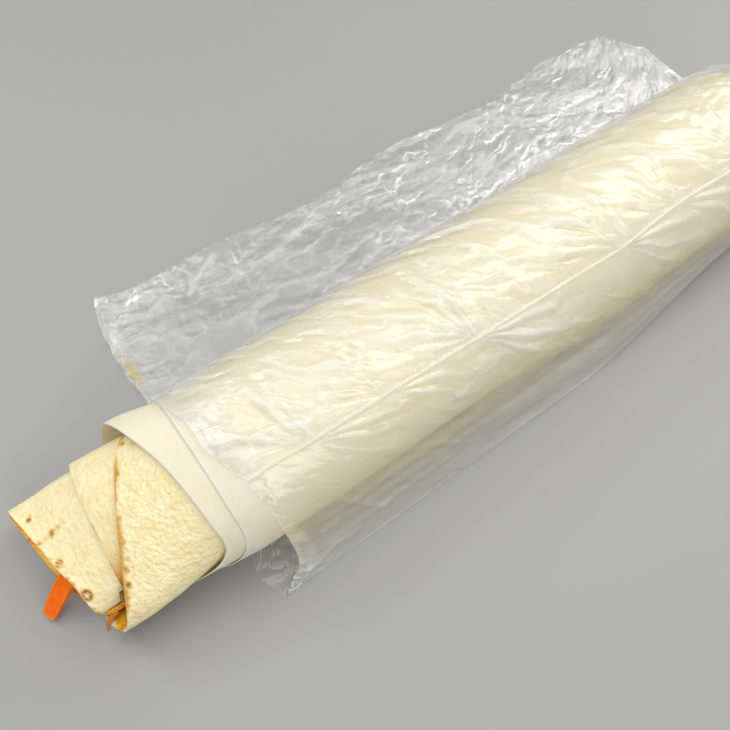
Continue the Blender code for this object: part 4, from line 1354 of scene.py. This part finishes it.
def film_creases(tree):
    """Fine relief of the film over its own flat shape: soft ridges, their crests, the crushed corner, the
    gathers beside the pinched line, and facets."""
    flat = put(tree, "UVMap").outputs[0]
    shift = put(tree, "VectorMath", {"operation": "SCALE"}, Scale=0.006)
    feed(tree, shift.inputs[0], flat_noise(tree, flat, 110.0, 2.0).outputs["Color"])
    warped = put(tree, "VectorMath", {"operation": "ADD"})
    feed(tree, warped.inputs[0], flat)
    feed(tree, warped.inputs[1], shift.outputs[0])
    bent = warped.outputs[0]
    along_creases, aslant = turned(tree, bent, -CREASE_HEADING), turned(tree, bent, RIDGE_SLANT)
    fade = flat_noise(tree, flat, 130.0, 1.0).outputs[0]
    patches = flat_noise(tree, flat, 55.0, 1.0).outputs[0]
    loose = blend(tree, ramp(tree, fade, 0.42, 0.58), ridges(tree, bent, *LOOSE_RIDGES),
                  ridges(tree, aslant, *SLANTED_RIDGES))
    ridged = blend(tree, read(tree, "loose"), ridges(tree, along_creases, *ROLL_RIDGES), loose)
    calm = blend(tree, read(tree, "loose"), 1.0, ramp(tree, patches, 0.40, 0.60, 0.30, 1.0))
    amount = times(tree, read(tree, "crinkled"), calm)
    soft = times(tree, amount, ramp(tree, ridged, 0.25, 1.05))
    crest = times(tree, amount, ramp(tree, ridged, 0.90, 1.32))
    crushed = ramp(tree, ridges(tree, aslant, *CORNER_RIDGES), 0.70, 1.25)
    crushed = times(tree, read(tree, "corner"), crushed)
    across = put(tree, "SeparateXYZ", Vector=flat).outputs["Y"]
    beside_line = times(tree, ramp(tree, across, 0.0002, 0.0006), ramp(tree, across, 0.0026, 0.0008))
    gathers = ramp(tree, cells(tree, flat, *GATHERS, "DISTANCE_TO_EDGE"), 0.14, 0.0)
    gathers = times(tree, times(tree, gathers, beside_line), ramp(tree, fade, 0.35, 0.55))
    facets = blend(tree, read(tree, "loose"), cells(tree, along_creases, *ROLL_FACETS),
                   cells(tree, bent, *LOOSE_FACETS))
    facets = times(tree, facets, times(tree, amount, by_part(tree, *FACET_RISE)))
    return soft, crest, crushed, gathers, facets


def film_finish():
    """Clear film that turns milky by its folds and creases, with a soft gloss over all of it. The white crests
    of the crushed corner are painted glints, and a tinted band on the skirt is painted shade.
    """
    made, tree = new_finish("clear film")
    soft, crest, crushed, gathers, facets = film_creases(tree)
    where = put(tree, "TexCoord").outputs["Object"]
    grain = put(tree, "TexNoise", Vector=where, Scale=FILM_GRAIN_PER_METRE, Detail=1.0).outputs[0]
    height = total(tree, facets, (soft, SOFT_RISE), (plus(tree, crest, gathers), CREST_RISE),
                   (crushed, CRUSHED_RISE), (grain, GRAIN_RISE))
    bumped = put(tree, "Bump", Height=height, Strength=0.6, Distance=FILM_BUMP).outputs[0]
    # The crushed corner's crests turn white: painted glints
    milk = total(tree, read(tree, "milk"), (crest, by_part(tree, *CREST_MILK)),
                 (soft, by_part(tree, *SOFT_MILK)), (gathers, GATHER_MILK), (crushed, CRUSHED_GLINT_MILK))
    # Painted shade: the skirt next to the roll takes a yellow tint, standing in for the roll's shaded underside
    # seen through the film
    haze = tint(tree, read(tree, "warm"), FILM_WHITE, FILM_UNDER_ROLL_SHADE)
    haze = tint(tree, read(tree, "stained"), haze, FILM_OILY)
    facing = put(tree, "BsdfPrincipled", Base_Color=haze, Roughness=HAZE_ROUGH, Normal=bumped)
    through_it = put(tree, "BsdfTranslucent", Color=haze, Normal=bumped)
    clear = put(tree, "BsdfTransparent", Color=(1.0, 1.0, 1.0))
    film = layer(tree, milk, clear.outputs[0], layer(tree, 0.5, facing.outputs[0], through_it.outputs[0]))
    polish = less(tree, by_part(tree, *GLOSS_ROUGH), times(tree, read(tree, "corner"), CORNER_POLISH))
    gloss = put(tree, "BsdfPrincipled", Base_Color=GLOSS_WHITE, Metallic=1.0,
                Roughness=polish, Normal=bumped)
    shine = times(tree, put(tree, "Fresnel", IOR=FILM_IOR).outputs[0], by_part(tree, *GLOSS_GAIN))
    shine = times(tree, reckon(tree, "MINIMUM", shine, GLOSS_MOST), less(tree, 1.0, milk))
    close_finish(tree, layer(tree, shine, film, gloss.outputs[0]))
    return made


def drape_film():
    grid = film_grid()
    rows, columns = grid.shape[0] - 1, grid.shape[1] - 1
    normal = np.cross(np.gradient(grid, axis=1), np.gradient(grid, axis=0))
    normal /= np.linalg.norm(normal, axis=2)[..., None] + 1e-12
    at = film_parts(grid)
    height = wrinkle(at)
    # Painted shade on the skirt next to the roll, fading towards the front fold
    at.warm = at.skirt * (1.0 - ease(share(at.column, FRONT_COLUMN, FRONT_COLUMN + 0.65 * SKIRT_COLUMNS)))
    stain_along = (at.from_mouth - STAIN_PLACE[0]) / STAIN_REACH[0]
    stain_across = (at.y - STAIN_PLACE[1]) / STAIN_REACH[1]
    at.stained = np.exp(-stain_along ** 2 - stain_across ** 2) * at.flap
    at.milk = milkiness(at, height)
    on_roll = at.roll * (0.55 + 0.45 * at.above) * (1.0 - CALMER * ease(share(at.p, *CALMER_X)))
    off_roll = 0.8 * at.flap + 0.8 * at.under_flap + 0.15 * at.skirt + at.corner
    at.crinkled = np.minimum(on_roll + off_roll, 1.0)
    on_table = (at.column < FLAP_COLUMNS + 8) | (at.column > columns - UNDER_COLUMNS // 2)
    at.loose = np.maximum(on_table, at.corner)
    grid = grid + normal * (height + SHARP_FOLD_HEIGHT * at.skirt * sharp_fold(at))[..., None]
    grid[..., 2] = np.maximum(grid[..., 2], FILM_ABOVE_TABLE)
    grid[:, -1] = grid[:, 0]
    # At the far end the upper layer comes down to a thin seam on the lower one
    upper = slice(1, columns - UNDER_COLUMNS)
    grid[-1, upper, 2] = hem_height(*grid[-1, upper, :2].T) + FILM_LOWEST + SEAM_THICK
    film, across, along = cut_sheet("clear_bag", columns, rows)
    i, j = np.rint(along * rows).astype(int), np.rint(across * columns).astype(int)
    lay(film, grid[i, j])
    for name in ("milk", "crinkled", "warm", "corner", "stained", "loose"):
        note(film, name, getattr(at, name)[i, j])
    note(film, "end_row", i == rows)
    corner_of = np.empty(len(film.data.loops), np.int32)
    film.data.loops.foreach_get("vertex_index", corner_of)
    flat = np.stack([at.p[i, j], at.q[i, j]], axis=1)[corner_of]
    film.data.uv_layers.active.data.foreach_set("uv", flat.astype(np.float32).ravel())
    # The two ends of each row meet at the back fold. They are joined, and the far seam is closed
    bpy.ops.object.mode_set(mode="EDIT")
    bpy.ops.mesh.select_all(action="SELECT")
    bpy.ops.mesh.remove_doubles(threshold=MERGE_LENGTH)
    bpy.ops.mesh.select_all(action="DESELECT")
    bpy.ops.object.mode_set(mode="OBJECT")
    film.data.vertices.foreach_set("select", noted(film, "end_row") > 0.5)
    bpy.ops.object.mode_set(mode="EDIT")
    bpy.ops.mesh.fill(use_beauty=True)
    bpy.ops.mesh.select_all(action="SELECT")
    bpy.ops.mesh.normals_make_consistent(inside=False)
    bpy.ops.object.mode_set(mode="OBJECT")
    bpy.ops.object.shade_smooth()
    film.data.materials.append(film_finish())
    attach(film, "root")
    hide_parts("bag")


drape_film()


# Floor and light. A plain pale table top. A large soft lamp hangs overhead, a second beyond the bag's closed
# end and weaker ones in front and behind, with an even grey surround.
FLOOR_SIZE = 4.0
FLOOR_GREY = (0.31, 0.31, 0.31)
FLOOR_ROUGH = 0.55
# Each lamp: name, place, width, depth, power and colour
LAMPS = [("far end", (0.69, 0.08, 0.89), 0.55, 0.95, 6.2, (1.0, 0.985, 0.95)),
         ("overhead", (-0.10, 0.05, 1.20), 1.20, 1.20, 7.2, (1.0, 0.985, 0.955)),
         ("front", (-0.10, -0.85, 0.62), 0.80, 0.50, 3.3, (1.0, 0.99, 0.97)),
         ("back", (-0.30, 0.74, 0.86), 0.40, 0.40, 3.0, (0.99, 0.995, 1.0))]
SURROUND = (0.86, 0.88, 0.90)
SURROUND_LIGHT = 0.38


def light_scene():
    bpy.ops.mesh.primitive_plane_add(size=FLOOR_SIZE, location=(0, 0, 0))
    floor = bpy.context.object
    floor.name = "floor"
    made, tree = new_finish("pale table")
    shader = put(tree, "BsdfPrincipled", Base_Color=FLOOR_GREY, Roughness=FLOOR_ROUGH)
    close_finish(tree, shader.outputs[0])
    floor.data.materials.append(made)
    for name, place, width, depth, power, colour in LAMPS:
        bpy.ops.object.light_add(type="AREA", location=place)
        lamp = bpy.context.object
        lamp.name = name
        lamp.data.shape = "RECTANGLE"
        lamp.data.size = width
        lamp.data.size_y = depth
        lamp.data.energy = power
        lamp.data.color = colour
        lamp.rotation_euler = (-Vector(place)).to_track_quat("-Z", "Y").to_euler()
    world = bpy.data.worlds.new("surround")
    world.use_nodes = True
    sky = world.node_tree.nodes["Background"].inputs
    sky["Color"].default_value = (*SURROUND, 1.0)
    sky["Strength"].default_value = SURROUND_LIGHT
    bpy.context.scene.world = world


light_scene()
